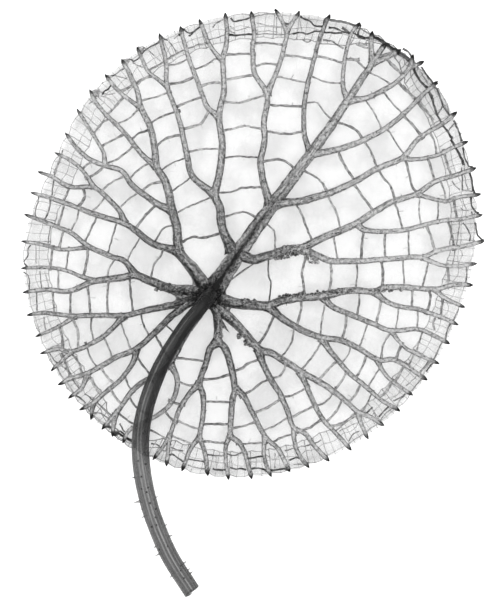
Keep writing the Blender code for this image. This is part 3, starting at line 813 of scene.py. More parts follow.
# Ribs: rounded ridges that widen at their forks and end in a dark spur.
ridge = {
    "step": 3.0,
    "arc": 11,
    "slim": 0.86,
    "depth": 0.85,
    "spurLength": 11.0,
    "spurWidth": (0.82, 1.02),  # at the left margin, and elsewhere
    "notchDark": 0.35,
    "flare": 0.95,
    "flareLength": 7.0,
    "hubFlare": 0.70,
    "hubFlareLength": 20.0,
    "lumps": 0.10,
    "wander": 0.6,
    "spurDark": 0.74,
    # how dark the tissue is, by distance from the hub in millimetres
    "darkness": ((0, 1.05), (12, 1.0), (18, 0.70), (30, 0.55), (60, 0.50), (90, 0.45), (135, 0.35),
                 (195, 0.24), (285, 0.16), (420, 0.22)),
    # the dark keel of each hub rib: its side (-1 right edge, 1 left edge), width, darkness and reach
    "keels": {"midrib": (-0.04, 0.18, 0.62, 210), "hub_rib_1": (-0.60, 0.35, 0.34, 90),
              "hub_rib_2": (-0.60, 0.30, 0.40, 90), "hub_rib_3": (-0.75, 0.25, 0.34, 90),
              "hub_rib_4": (0.0, 0.4, 0.35, 80), "hub_rib_5": (0.1, 0.8, 0.32, 70),
              "hub_rib_6": (0.55, 0.35, 0.34, 90), "hub_rib_7": (0.62, 0.30, 0.34, 100)},
    # how much darker or paler than that some ribs are
    "shade": {"midrib": 0.05, "left_rib_3": 0.10, "right_rib_1_branch_1": -0.05,
              "right_rib_1_branch_2": -0.10, "hub_rib_3_branch_3": -0.05, "hub_rib_2": -0.05,
              "hub_rib_4_branch_1": -0.10},
    "noKeel": (0, 1, 0, 80),
}


def ridgeSection(keel):
    corners = []
    for i in range(ridge["arc"]):
        a = math.pi * i / (ridge["arc"] - 1)
        u = 0.5 * math.cos(a)
        bulge = (1 - 4 * u * u) ** 0.85 if abs(u) < 0.499 else 0.0
        crest = 0.30 * math.sin(a) ** 0.6 + 0.70 * math.exp(-((u / 0.15) ** 2))
        corners.append((u, blend(bulge, crest, keel)))
    return corners + [(-0.3, -0.04), (0.0, -0.05), (0.3, -0.04)]


def denseAt(x, y):
    fromHub = math.hypot(x - leaf["hub"][0], y - leaf["hub"][1])
    table = ridge["darkness"]
    for (near, dark), (far, pale) in zip(table, table[1:]):
        if fromHub <= far:
            return blend(dark, pale, (fromHub - near) / (far - near)) + 0.10 * drift(x, y, 1.0, 22.0)
    return table[-1][1]


def addRidge(bm, layers, name, route, start, end, keel=0.0, depth=1.0):
    centres = smoothRoute(route, ridge["step"])
    runs = lengthsOf(centres)
    atHub = route[0] == leaf["hub"]
    keelling = ridge["keels"].get(name, ridge["noKeel"]) if atHub else ridge["noKeel"]
    keelSide, keelWide, keelDark, keelReach = keelling
    tip = route[-1]
    tipAngle = math.degrees(math.atan2(tip[1], tip[0])) % 360
    blunt = blend(ridge["spurWidth"][1], ridge["spurWidth"][0], ease(75, 25, abs(tipAngle - 180)))
    spurDark = ridge["spurDark"] + ridge["notchDark"] * notchShare(tipAngle, 55)
    rings = []
    for i, centre in enumerate(centres):
        along = headingAt(centres, i)
        side = Vector((-along.y, along.x))
        toTip = runs[-1] - runs[i]
        width = ridge["slim"] * blend(start, end, runs[i] / runs[-1])
        if atHub:
            width *= 1 + ridge["hubFlare"] * math.exp(-runs[i] / ridge["hubFlareLength"])
        else:
            width *= 1 + ridge["flare"] * math.exp(-runs[i] / ridge["flareLength"])
        width *= 1 + ridge["lumps"] * drift(centre.x, centre.y, 7.0, 8.0)
        height = ridge["slim"] * blend(start, end, runs[i] / runs[-1]) * ridge["depth"] * depth
        centre = centre + side * ridge["wander"] * drift(centre.x, centre.y, 0.0, 14.0) * ease(0, 12, runs[i])
        dense = denseAt(centre.x, centre.y) + ridge["shade"].get(name, 0.0)
        if not atHub:
            dense += 0.10 * math.exp(-runs[i] / 6)
        width *= blend(blunt, 1.0, ease(3, 22, toTip)) * max(ease(-1.2, 6.0, toTip) ** 0.62, 0.07)
        height *= max(ease(-2.0, 12.0, toTip), 0.14)
        dense += spurDark * ease(ridge["spurLength"], 2, toTip)
        drop = 2.2 * ease(9, 0, toTip)
        hubShare = ease(keelReach, 0.2 * keelReach, runs[i]) if atHub else 0.0
        wallShare = blend(1.0, 0.5, hubShare)
        ring = []
        for u, v in ridgeSection(keel * ease(12, 20, width)):
            rough = 1 + 0.05 * drift(centre.x + 9 * u, centre.y, 5.0 + v * 3, 3.0)
            offset = side * u * width * rough
            z = leaf["ribBase"] + v * height * rough - drop
            keelHere = keelDark * hubShare * math.exp(-(((2 * u - keelSide) / keelWide) ** 2))
            wing = -0.12 * hubShare * ease(keelWide, keelWide + 0.4, abs(2 * u - keelSide))
            ring.append((place(centre.x + offset.x, centre.y + offset.y, z), 2 * u * wallShare, runs[i],
                         dense + keelHere + wing))
        rings.append(ring)
    skin(bm, layers, rings)


def makeRibs(material):
    for name, (start, end, route, twigs) in ribs.items():
        bm, layers = newBody()
        addRidge(bm, layers, name, route, start, end, keel=1.0 if name == "midrib" else 0.35)
        for twig in twigs:
            addRidge(bm, layers, name, twig, 0.96 * end, 0.92 * end, depth=0.92)
        finishBody(name + "_ridge", bm, material, (name,))


# Thin webs that fill the corners between ribs where they meet at the hub: two ends and the corner between.
hubWeb = {
    "dense": 0.44,
    "rise": 9.0,
    "thickness": 1.6,
    "rounds": 16,
    "spokes": 9,
    "corners": (
        ((6, -23), (-19, -38), (-30, -54)), ((-30, -52), (-32, -64), (-14, -70)),
        ((-18, -80), (-28, -83), (-24, -96)), ((-40, -115), (-38, -106), (-28, -113)),
        ((-85, -31), (-76, -52), (-100, -52)), ((-112, -59), (-96, -69), (-114, -77)),
        ((-64, -37), (-54, -44), (-44, -35)),
    ),
}


def makeHubWebs(material):
    bm, layers = newBody()
    rounds, spokes = hubWeb["rounds"], hubWeb["spokes"]
    for first, corner, last in hubWeb["corners"]:
        pull = [2 * corner[k] - 0.5 * (first[k] + last[k]) for k in (0, 1)]
        top, bottom = [], []
        for i in range(rounds + 1):
            t = i / rounds
            edge = [(1 - t) ** 2 * first[k] + 2 * t * (1 - t) * pull[k] + t * t * last[k] for k in (0, 1)]
            upper, lower = [], []
            for j in range(spokes + 1):
                s = blend(0.12, 1.0, j / spokes)
                x, y = (blend(leaf["hub"][k], edge[k], s) for k in (0, 1))
                fromHub = math.hypot(x - leaf["hub"][0], y - leaf["hub"][1])
                z = leaf["ribBase"] + 0.6 + hubWeb["thickness"] * (1 - s) ** 0.5
                z += hubWeb["rise"] * math.exp(-fromHub / 12) + 0.3 * drift(x, y, 2.0, 4.0)
                dense = blend(1.0, hubWeb["dense"], ease(12, 26, fromHub))
                for row, height in ((upper, z), (lower, leaf["sheetTop"] - 0.4)):
                    vertex = bm.verts.new(place(x, y, height))
                    vertex[layers["across"]] = 0.3 * math.sin(9 * t)
                    vertex[layers["along"]] = fromHub
                    vertex[layers["dense"]] = dense
                    row.append(vertex)
            top.append(upper)
            bottom.append(lower)
        for grid in (top, bottom):
            for near, far in zip(grid, grid[1:]):
                for j in range(spokes):
                    bm.faces.new((near[j], near[j + 1], far[j + 1], far[j]))
        for i in range(rounds):
            for j in (0, spokes):
                bm.faces.new((top[i][j], top[i + 1][j], bottom[i + 1][j], bottom[i][j]))
        for i in (0, rounds):
            for j in range(spokes):
                bm.faces.new((top[i][j], top[i][j + 1], bottom[i][j + 1], bottom[i][j]))
    finishBody("hub_webs", bm, material)


# Cross veins and the veins of the fold and rim: thin cords on the sheet.
crossVein = {"seed": 11, "step": 2.5, "thin": 2.0, "thick": 3.3, "depth": 0.55, "dark": (0.28, 0.50),
             "stubs": 0.5, "stubLength": (3.0, 8.0), "stubWidth": 0.8, "reach": 3.0}


def addVein(bm, layers, points, width, dense, depth, sides=8, jitter=0.5, ends=0.8):
    # points are 3-D centres; the cord is round, pressed flat by depth
    runs = lengthsOf(points)
    rings = []
    for i, centre in enumerate(points):
        along = headingAt(points, i)
        side = Vector((-along.y, along.x, 0.0)).normalized()
        up = side.cross(along).normalized() * -1
        here = width * (1 + 0.32 * drift(centre.x, centre.y, centre.z + 4, 4.0))
        toEnd = min(runs[i], runs[-1] - runs[i])
        here *= 1 + ends * math.exp(-toEnd / 3.5)
        shift = side * jitter * drift(centre.x, centre.y, centre.z, 5.0)
        tall = min(here * depth, 3.0)
        dark = dense + 0.2 * drift(centre.x, centre.y, 2.0, 7.0) + 0.08 * math.exp(-toEnd / 3)
        ring = []
        for k in range(sides):
            a = 2 * math.pi * k / sides
            point = centre + shift + side * math.cos(a) * here / 2 + up * math.sin(a) * tall / 2
            ring.append((place(*point), math.cos(a), runs[i], dark))
        rings.append(ring)
    skin(bm, layers, rings)


def makeCrossVeins(material):
    dice = random.Random(crossVein["seed"])
    bm, layers = newBody()
    for route in crossRoutes:
        width = dice.uniform(crossVein["thin"], crossVein["thick"])
        dense = dice.uniform(*crossVein["dark"])
        points = []
        first, last = (
            Vector(end) + (Vector(end) - Vector(inner)).normalized() * crossVein["reach"]
            for end, inner in ((route[0], route[1]), (route[-1], route[-2]))
        )
        for spot in smoothRoute((first, *route[1:-1], last), crossVein["step"]):
            near = veins.find((spot.x, spot.y, 0.0))[2]
            points.append(Vector((spot.x, spot.y, leaf["sheetTop"] - 0.2 + 0.1 * near)))
        middle = points[len(points) // 2]
        fromHub = math.hypot(middle.x - leaf["hub"][0], middle.y - leaf["hub"][1])
        dense += 0.15 * ease(180, 60, fromHub)
        addVein(bm, layers, points, width, dense, 2 * crossVein["depth"], jitter=0.8)
        # short free stubs of the next finer veins
        for _ in range(int(crossVein["stubs"] + dice.random())):
            i = dice.randrange(2, max(3, len(points) - 2))
            along = headingAt(points, min(i, len(points) - 1))
            turn = dice.choice((-1, 1)) * dice.uniform(1.1, 1.9)
            way = Vector((along.x * math.cos(turn) - along.y * math.sin(turn),
                          along.x * math.sin(turn) + along.y * math.cos(turn), 0.0))
            foot = points[min(i, len(points) - 1)]
            length = dice.uniform(*crossVein["stubLength"])
            stub = [foot + way * length * k / 4 + Vector((0, 0, -0.25 * k)) for k in range(5)]
            addVein(bm, layers, stub, crossVein["stubWidth"], 0.3 * dense, 1.0, sides=6, jitter=0.6,
                    ends=0.0)
    finishBody("cross_veins", bm, material)


# Veins and creases of the folded margin: (width, darkness, route).
foldRoutes = (
    # upper edge
    (1.3, 0.45, ((-50, 270), (-45, 276), (-37, 280))),
    (2.0, 0.80, ((-27, 282), (-24, 278), (-15, 279), (0, 283))),
    (1.4, 0.40, ((0, 283), (8, 285), (18, 287), (27, 287))),
    (2.0, 0.70, ((28, 293), (33, 285), (38, 277), (42, 275), (47, 273))),
    (1.6, 0.50, ((47, 273), (53, 282), (58, 291))),
    (2.3, 0.85, ((60, 284), (66, 280), (72, 278), (78, 272), (84, 271), (90, 273), (95, 284))),
    (3.0, 0.62, ((97, 280), (105, 279), (115, 277), (125, 274), (132, 272))),
    (2.2, 0.80, ((95, 270), (103, 269), (112, 265), (120, 263), (128, 262), (135, 257), (150, 258))),
    (3.0, 0.70, ((112, 270), (118, 266), (121, 262))), (3.2, 0.92, ((88, 270), (91, 280), (97, 284))),
    (2.1, 0.75, ((50, 262), (60, 264), (68, 262), (78, 265), (90, 264), (102, 263), (112, 263))),
    (1.3, 0.50, ((5, 262), (20, 262), (35, 261), (50, 262))),
    (2.3, 0.80, ((-30, 261), (-22, 260), (-12, 261), (5, 262))),
    (1.4, 0.45, ((-72, 247), (-62, 250), (-52, 255), (-42, 258), (-33, 261))),
    (1.0, 0.32, ((0, 268), (10, 265), (22, 266), (35, 262))),
    (1.0, 0.30, ((-28, 272), (-20, 266), (-5, 271))),
    (1.0, 0.30, ((5, 276), (15, 273), (30, 271), (45, 270))),
    (2.2, 0.40, ((88, 254), (98, 253), (108, 247), (114, 244))),
    (1.3, 0.35, ((-33, 275), (-28, 266), (-22, 262))), (1.6, 0.32, ((135, 247), (142, 244), (148, 246))),
    (1.0, 0.32, ((58, 290), (60, 275), (62, 262))), (1.2, 0.38, ((30, 283), (30, 262))),
    (2.4, 0.88, ((131, 270), (134, 276), (135, 270), (132, 262), (138, 258), (148, 256))),
    (1.5, 0.50, ((135, 270), (140, 266), (147, 262))), (2.0, 0.35, ((63, 255), (68, 252), (73, 254))),
    # upper left
    (1.9, 0.75, ((-90, 271), (-86, 268), (-82, 264), (-78, 263), (-72, 266), (-66, 271))),
    (1.7, 0.60, ((-80, 259), (-74, 263), (-66, 271))), (2.6, 0.92, ((-92, 260), (-88, 265), (-86, 268))),
    (1.2, 0.45, ((-98, 256), (-92, 261))), (1.8, 0.60, ((-115, 260), (-110, 256), (-106, 254))),
    (1.3, 0.45, ((-105, 252), (-100, 247), (-97, 241), (-94, 236))),
    (1.8, 0.75, ((-116, 254), (-120, 250), (-127, 247), (-133, 243), (-138, 238), (-142, 232), (-150, 227))),
    (1.5, 0.40, ((-144, 246), (-138, 246), (-133, 243))), (2.0, 0.50, ((-143, 243), (-141, 238))),
    (1.8, 0.55, ((-162, 230), (-155, 231), (-149, 228))),
    (1.1, 0.30, ((-150, 226), (-143, 222), (-136, 220))),
    (1.6, 0.65, ((-160, 219), (-165, 217), (-171, 212), (-176, 210), (-182, 211))),
    (1.3, 0.35, ((-173, 210), (-165, 208), (-157, 206))),
    (2.0, 0.85, ((-176, 198), (-181, 193), (-186, 190), (-188, 186))),
    (1.3, 0.38, ((-199, 191), (-192, 190), (-187, 188), (-180, 186), (-172, 188))),
    (1.2, 0.35, ((-195, 182), (-200, 178), (-205, 175))),
    (1.2, 0.32, ((-130, 241), (-122, 234), (-115, 228))),
    (1.8, 0.58, ((-128, 218), (-118, 223), (-110, 228), (-100, 235), (-90, 240), (-82, 243), (-66, 249))),
    (1.0, 0.28, ((-190, 185), (-180, 181), (-172, 176))),
    (9.0, 0.22, ((-200, 186), (-196, 188), (-192, 188))),
    (7.0, 0.22, ((-143, 242), (-140, 242), (-137, 241))),
    (6.0, 0.22, ((-183, 208), (-181, 208), (-178, 207))),
    (6.0, 0.22, ((-161, 227), (-158, 228), (-155, 227))),
    # left
    (1.3, 0.40, ((-237, 117), (-243, 102), (-248, 88))), (1.6, 0.50, ((-248, 81), (-250, 70), (-251, 60))),
    (1.6, 0.55, ((-253, 55), (-254, 44), (-259, 31))),
    (1.4, 0.60, ((-268, 60), (-269, 50), (-272, 40), (-271, 33))), (1.4, 0.45, ((-253, 21), (-256, 0))),
    (1.4, 0.60, ((-278, -2), (-281, -8), (-282, -17), (-287, -23))),
    (1.8, 0.60, ((-286, -25), (-280, -31))),
    (1.4, 0.60, ((-287, -36), (-281, -40), (-279, -50), (-280, -60))),
    (1.6, 0.60, ((-270, -62), (-270, -73), (-269, -84))), (1.2, 0.25, ((-271, -2), (-271, -25))),
    (1.3, 0.38, ((-266, -35), (-264, -58))), (1.1, 0.25, ((-260, -35), (-254, -58))),
    (1.2, 0.22, ((-272, -92), (-270, -100), (-266, -112))),
    (1.6, 0.38, ((-261, -92), (-260, -103), (-258, -108))),
    (1.7, 0.52, ((-255, -135), (-249, -145), (-244, -150))),
    (1.1, 0.35, ((-257, -137), (-250, -150), (-247, -155))),
    (1.1, 0.30, ((-258, -133), (-250, -129), (-240, -128))),
    (1.9, 0.45, ((-240, -152), (-230, -160), (-226, -168))),
    (1.3, 0.42, ((-245, -155), (-240, -163), (-236, -170), (-228, -180), (-223, -188))),
    (1.8, 0.60, ((-226, -170), (-220, -177), (-215, -183))),
    (2.0, 0.65, ((-221, -190), (-214, -195), (-209, -200))),
    (1.6, 0.50, ((-210, -202), (-205, -208), (-199, -216))),
    (1.6, 0.40, ((-210, -188), (-204, -192), (-200, -196))),
    (1.6, 0.45, ((-200, -213), (-192, -212), (-184, -216), (-178, -221))),
    (1.3, 0.42, ((-202, -220), (-198, -217), (-190, -222), (-184, -227))),
    # lower left notch
    (3.4, 0.90, ((-186, -230), (-180, -229), (-175, -233), (-171, -238))),
    (3.2, 0.92, ((-174, -240), (-168, -238), (-162, -241), (-155, -245), (-147, -250))),
    (2.0, 0.70, ((-170, -236), (-165, -235), (-160, -240))),
    (1.7, 0.55, ((-162, -246), (-158, -242), (-155, -236), (-151, -228))),
    (1.6, 0.50, ((-166, -225), (-163, -231), (-160, -236))),
    # lower edge
    (1.7, 0.55, ((-127, -250), (-119, -252), (-114, -258), (-105, -261))),
    (2.0, 0.75, ((-106, -266), (-100, -264), (-93, -269), (-87, -273))),
    (1.8, 0.60, ((-83, -269), (-72, -271), (-60, -273))),
    (1.3, 0.40, ((-81, -277), (-68, -281), (-58, -282))),
    (1.6, 0.50, ((-102, -255), (-93, -258), (-87, -260))),
    (2.2, 0.80, ((-50, -282), (-41, -283), (-34, -283))),
    (2.0, 0.75, ((-28, -280), (-20, -282), (-16, -281), (-8, -283))),
    (2.2, 0.80, ((-5, -283), (5, -281), (13, -282), (18, -285))),
    (2.4, 0.85, ((22, -284), (30, -283), (40, -282), (46, -285))),
    (2.0, 0.70, ((46, -271), (55, -268), (61, -270))), (1.3, 0.40, ((51, -277), (59, -276), (68, -277))),
    (1.8, 0.60, ((-58, -264), (-39, -266), (-33, -264))),
    (1.8, 0.62, ((-32, -263), (-22, -265), (-14, -262))),
    (2.2, 0.80, ((-8, -269), (1, -268), (8, -266), (14, -267))),
    (1.5, 0.45, ((40, -259), (57, -255), (74, -251), (86, -246))),
    (1.0, 0.28, ((17, -264), (27, -270), (36, -262))), (1.2, 0.25, ((-26, -266), (-26, -281))),
    (1.2, 0.25, ((28, -262), (28, -281))), (1.0, 0.25, ((-46, -266), (-45, -281))),
    (1.0, 0.25, ((5, -268), (4, -281))),
    # lower right
    (1.4, 0.45, ((120, -221), (110, -229), (103, -235))),
    (1.1, 0.35, ((137, -222), (122, -228), (108, -235))),
    (1.1, 0.30, ((137, -240), (128, -245), (120, -250))),
    (1.4, 0.45, ((133, -235), (128, -237), (124, -240), (121, -247))),
    (1.1, 0.35, ((156, -227), (148, -231), (141, -236))),
    (2.0, 0.60, ((150, -205), (143, -212), (137, -215), (130, -218))),
    (1.1, 0.30, ((150, -205), (152, -213), (156, -220))),
    (1.9, 0.60, ((172, -203), (163, -210), (158, -217))),
    (1.1, 0.42, ((174, -207), (166, -213), (160, -221))),
    (1.1, 0.32, ((188, -182), (180, -190), (172, -196))),
    (1.7, 0.55, ((191, -188), (186, -192), (180, -195), (176, -197))),
    (1.1, 0.45, ((190, -190), (184, -196), (181, -203))),
    (1.1, 0.38, ((208, -162), (203, -168), (198, -173), (192, -178))),
    (1.3, 0.45, ((212, -170), (204, -178), (200, -184))),
    (1.9, 0.60, ((221, -146), (216, -153), (210, -160))),
    (2.0, 0.60, ((226, -149), (221, -155), (217, -160))),
    (1.6, 0.50, ((238, -122), (234, -130), (231, -138), (226, -145))),
    (2.0, 0.60, ((247, -100), (243, -110), (241, -120))),
    (2.4, 0.28, ((229, -92), (226, -100), (228, -108))), (1.5, 0.45, ((258, -82), (254, -90), (250, -98))),
    # right
    (3.2, 0.85, ((248, 130), (254, 120), (258, 112), (262, 104), (264, 98))),
    (1.7, 0.55, ((261, 95), (262, 85), (262, 67))),
    (2.0, 0.70, ((263, 120), (264, 112), (267, 104), (271, 97), (276, 96))),
    (2.5, 0.80, ((271, 92), (273, 85), (275, 75), (277, 66), (279, 61))),
    (1.3, 0.40, ((265, 100), (265, 85), (267, 75), (270, 66))),
    (1.3, 0.38, ((262, 67), (270, 66), (278, 65))),
    (2.3, 0.80, ((274, 60), (273, 52), (275, 45), (279, 40), (283, 38))),
    (1.4, 0.50, ((274, 40), (276, 35), (278, 32))),
    (1.0, 0.30, ((262, 60), (264, 50), (267, 42), (266, 32))),
    (1.2, 0.38, ((260, 45), (263, 42), (270, 41))),
    (1.4, 0.45, ((259, 28), (258, 18), (257, 10), (254, -8))),
    (1.7, 0.55, ((263, 26), (267, 20), (271, 14), (272, 8), (271, 3))),
    (2.1, 0.75, ((278, 26), (280, 18), (282, 10), (286, 6), (290, 4))),
    (1.8, 0.60, ((276, 3), (283, 1), (287, 2))), (1.3, 0.38, ((253, -9), (252, -18), (250, -26))),
    (1.0, 0.30, ((260, -8), (262, -14), (259, -22), (257, -30))),
    (1.7, 0.50, ((268, -30), (268, -40), (267, -50))), (1.2, 0.35, ((249, 78), (254, 72), (259, 67))),
    # upper right notch
    (3.2, 0.85, ((201, 225), (205, 210), (218, 194), (224, 183))),
    (2.6, 0.75, ((224, 183), (230, 163), (238, 148), (250, 131))),
    (2.4, 0.75, ((211, 221), (220, 208), (224, 203), (232, 190), (240, 169), (247, 160))),
    (2.4, 0.75, ((252, 154), (258, 140), (262, 128))), (4.2, 0.95, ((149, 259), (157, 256), (166, 250))),
    (4.2, 0.95, ((166, 250), (175, 244), (182, 240))),
    (4.8, 0.90, ((182, 240), (188, 235), (194, 231), (201, 225))),
    (2.5, 0.70, ((188, 244), (194, 241), (199, 234), (203, 228))),
    (1.2, 0.45, ((205, 222), (212, 212), (219, 200))), (1.3, 0.45, ((223, 200), (222, 190), (226, 184))),
    (1.6, 0.60, ((232, 201), (224, 194), (219, 190))), (1.1, 0.32, ((232, 195), (240, 180), (246, 165))),
    (1.5, 0.50, ((238, 172), (232, 160), (236, 150))), (1.7, 0.60, ((247, 160), (240, 150), (238, 148))),
    (1.4, 0.45, ((252, 150), (245, 140), (250, 133))), (2.0, 0.42, ((161, 235), (170, 238), (180, 242))),
    (2.6, 0.36, ((166, 233), (180, 219), (186, 210))), (2.6, 0.36, ((188, 198), (195, 190), (201, 181))),
    (2.6, 0.40, ((207, 175), (218, 164), (226, 154))), (3.4, 0.30, ((121, 232), (128, 229), (134, 230))),
    (3.2, 0.26, ((130, 250), (137, 247), (143, 249))),
)

# The rim's own net: hoops round its outside and short veins down it.
rimNet = {
    "seed": 5,
    "hoops": ((0.55, 0.8, 0.02), (0.80, 0.7, 0.0), (0.985, 0.9, 0.05)),
    "drop": (0.8, 0.04),
}


def marginHeight(x, y):
    angle = math.degrees(math.atan2(y, x))
    inset = foldRadius(angle) - math.hypot(x, y)
    return leaf["sheetTop"] + 0.2 - 2.4 * ease(9.0, 2.0, inset) - 3.0 * ease(2.0, -4.0, inset)


def makeMarginVeins(material):
    bm, layers = newBody()
    for width, dense, route in foldRoutes:
        points = [Vector((spot.x, spot.y, marginHeight(spot.x, spot.y))) for spot in smoothRoute(route, 2.0)]
        addVein(bm, layers, points, width, dense, 0.8, jitter=0.9, ends=0.25)
    finishBody("margin_creases", bm, material)

    dice = random.Random(rimNet["seed"])
    bm, layers = newBody()
    for here, there in zip(spurAngles, spurAngles[1:] + [spurAngles[0] + 360]):
        gap = there - here
        notch = notchShare((here + there) / 2, 26)
        steps = max(4, round(gap * 5 / 3))
        for share, width, dense in rimNet["hoops"]:
            points = []
            wave = dice.uniform(-0.06, 0.06)
            for i in range(steps + 1):
                t = i / steps
                level = min(share + wave * math.sin(math.pi * t) * (share < 0.9), 0.985)
                points.append(Vector(rimPoint(here + gap * t, level, 0.2)))
            addVein(bm, layers, points, width * (1 + 0.5 * notch), dense + 0.35 * notch, 1.0, sides=6,
                    jitter=0.9, ends=0.3)
        width, dense = rimNet["drop"]
        for t in [0.0] + ([0.5] if gap < 5 else [0.33, 0.68]):
            lean = dice.uniform(-0.15, 0.15) * gap
            first = 0.30 if t == 0 else 0.42
            points = [
                Vector(rimPoint(here + gap * t + lean * (s - first), s, 0.2))
                for s in [blend(first, 0.98, i / 12) for i in range(13)]
            ]
            addVein(bm, layers, points, width * (1.3 if t == 0 else 0.8), dense + 0.35 * notch, 1.0, sides=6,
                    jitter=0.9, ends=0.3)
    finishBody("rim_net", bm, material)


# The stalk and the hub that it grows from.
stalk = {
    "radius": 10.3,
    "sides": 32,
    "step": 5.0,
    "hubProfile": ((0.0, 17.0), (3.5, 16.8), (7.0, 15.6), (12.0, 12.6), (16.0, 11.0)),
    "bendStart": 41.0,
    "bendRadius": 17.0,
    "bendHeading": (-0.6, -0.8),
    "route": ((-84, -104, 58), (-107, -140, 56), (-122, -172, 53), (-133, -205, 50), (-139, -240, 47.5),
              (-138.5, -275, 42), (-132, -315, 32), (-121, -352, 22), (-103, -394, 13), (-76, -437, 10.5)),
    "neck": 0.87,  # how wide it is near the hub, of its width further on
    "oval": 0.06,  # how much wider than high, past the margin
    "ridges": 0.012,
    # side near the leaf, side near the cut, width, and how far from the hub each starts
    "canals": ((-0.36, -0.08, 0.13, 44), (0.0, 0.34, 0.11, 150)),
    "canalTone": 0.50,
    "alphaDark": 0.86,
    "alphaLight": 0.54,
    "cutStep": 1.4,
    "dish": ((0.82, 0.5), (0.45, 2.0), (0.12, 2.6)),  # share of the radius, and how far in
}


def stalkCentres():
    base = leaf["sheetTop"] + 0.3
    hub = Vector((*leaf["hub"], 0.0))
    centres = [hub + Vector((0, 0, base + height)) for height, _ in stalk["hubProfile"]]
    radii = [radius for _, radius in stalk["hubProfile"]]
    heading = Vector((*stalk["bendHeading"], 0.0))
    bend = []
    for i in range(9):
        turn = 0.5 * math.pi * i / 8
        bend.append(hub + Vector((0, 0, stalk["bendStart"] + 1.5 + stalk["bendRadius"] * math.sin(turn)))
                    + heading * stalk["bendRadius"] * (1 - math.cos(turn)))
    rest = smoothRoute([bend[-1]] + [Vector(point) for point in stalk["route"]], stalk["step"])
    centres += bend + rest[1:]
    radii += [stalk["radius"]] * (len(centres) - len(radii))
    return centres, radii


def framesAlong(centres):
    across = Vector((0.8, -0.6, 0.0))
    along = Vector((0, 0, 1))
    frames = []
    for i in range(len(centres)):
        way = headingAt(centres, i) if i else Vector((0, 0, 1))
        across = across.copy()
        across.rotate(along.rotation_difference(way))
        along = way
        frames.append((across, way.cross(across)))
    return frames


def stalkDense(centre):
    fromHub = math.hypot(centre.x - leaf["hub"][0], centre.y - leaf["hub"][1])
    return blend(0.97, 0.62, ease(10, 200, fromHub)) - 0.14 * ease(185, 205, fromHub)


def makeStalk(material):
    centres, radii = stalkCentres()
    runs = lengthsOf(centres)
    frames = framesAlong(centres)
    bm, layers = newBody()
    rings = []
    for i, (centre, radius) in enumerate(zip(centres, radii)):
        side, up = frames[i]
        ring = []
        for k in range(stalk["sides"]):
            a = 2 * math.pi * k / stalk["sides"]
            bumps = 1 + stalk["ridges"] * math.cos(11 * a) + 0.015 * drift(runs[i], 5 * a, 0.0, 9.0)
            oval = blend(stalk["neck"], 1.0, ease(70, 180, runs[i])) + stalk["oval"] * ease(170, 230, runs[i])
            point = centre + (side * math.cos(a) * oval + up * math.sin(a)) * radius * bumps
            # near the leaf one side is darker, but for its own edge
            dark = ease(-0.2, 0.15, math.cos(a)) - 0.8 * ease(0.62, 0.92, math.cos(a))
            shadeSide = 0.30 * dark * ease(280, 200, runs[i]) + 0.06 * ease(0.2, 0.8, math.cos(a))
            ring.append((place(*point), math.cos(a), runs[i], stalkDense(centre) + shadeSide))
        rings.append(ring)
    # the cut: one half stands a little prouder, and the end is dished
    side, up = frames[-1]
    way = headingAt(centres, len(centres) - 1)
    for k, (point, across, run, dense) in enumerate(rings[-1]):
        step = stalk["cutStep"] * (1 if across < 0.1 else -1)
        rings[-1][k] = (point + way * step * mm, across, run, dense)
    for share, back in stalk["dish"]:
        ring = []
        for k in range(stalk["sides"]):
            a = 2 * math.pi * k / stalk["sides"]
            out = (side * math.cos(a) + up * math.sin(a)) * stalk["radius"] * share
            point = centres[-1] - way * back + out
            ring.append((place(*point), share * math.cos(a), runs[-1], 0.7))
        rings.append(ring)
    skin(bm, layers, rings)
    finishBody("stalk", bm, material, ("petiole",))
    return centres


# Prickles: y of each along the stalk, its side (-1 left, 1 right, between on the face), its length.
prickle = {
    "seed": 3,
    "listed": ((-291, -1, 4), (-322, -1, 7.5), (-340, -1, 4), (-381, -1, 4), (-388, -1, 6), (-418, -1, 4),
               (-318, 1, 3.5), (-353, 1, 4), (-368, 1, 4.5), (-400, 1, 5), (-410, 1, 4), (-415, 1, 4.5),
               (-271, -0.2, 3), (-292, -0.1, 3), (-303, 0.3, 3), (-309, 0.1, 3), (-324, 0.15, 3.5),
               (-340, 0.2, 3), (-354, -0.35, 3), (-385, -0.6, 3.5), (-419, 0.1, 3)),
    "extra": 26,
    "baseRadius": 1.25,
    "onRibs": 150,
}


def addThorn(bm, layers, foot, way, length, radius, dense, curl):
    way = way.normalized()
    side = way.orthogonal().normalized()
    up = way.cross(side)
    rings = []
    for share, size in ((-0.15, 1.25), (0.0, 1.0), (0.35, 0.62), (0.7, 0.34), (1.0, 0.08)):
        centre = foot + way * length * share + curl * share * share
        ring = []
        for k in range(7):
            a = 2 * math.pi * k / 7
            point = centre + (side * math.cos(a) + up * math.sin(a)) * radius * size
            ring.append((place(*point), 0.3, share * length, dense))
        rings.append(ring)
    skin(bm, layers, rings)


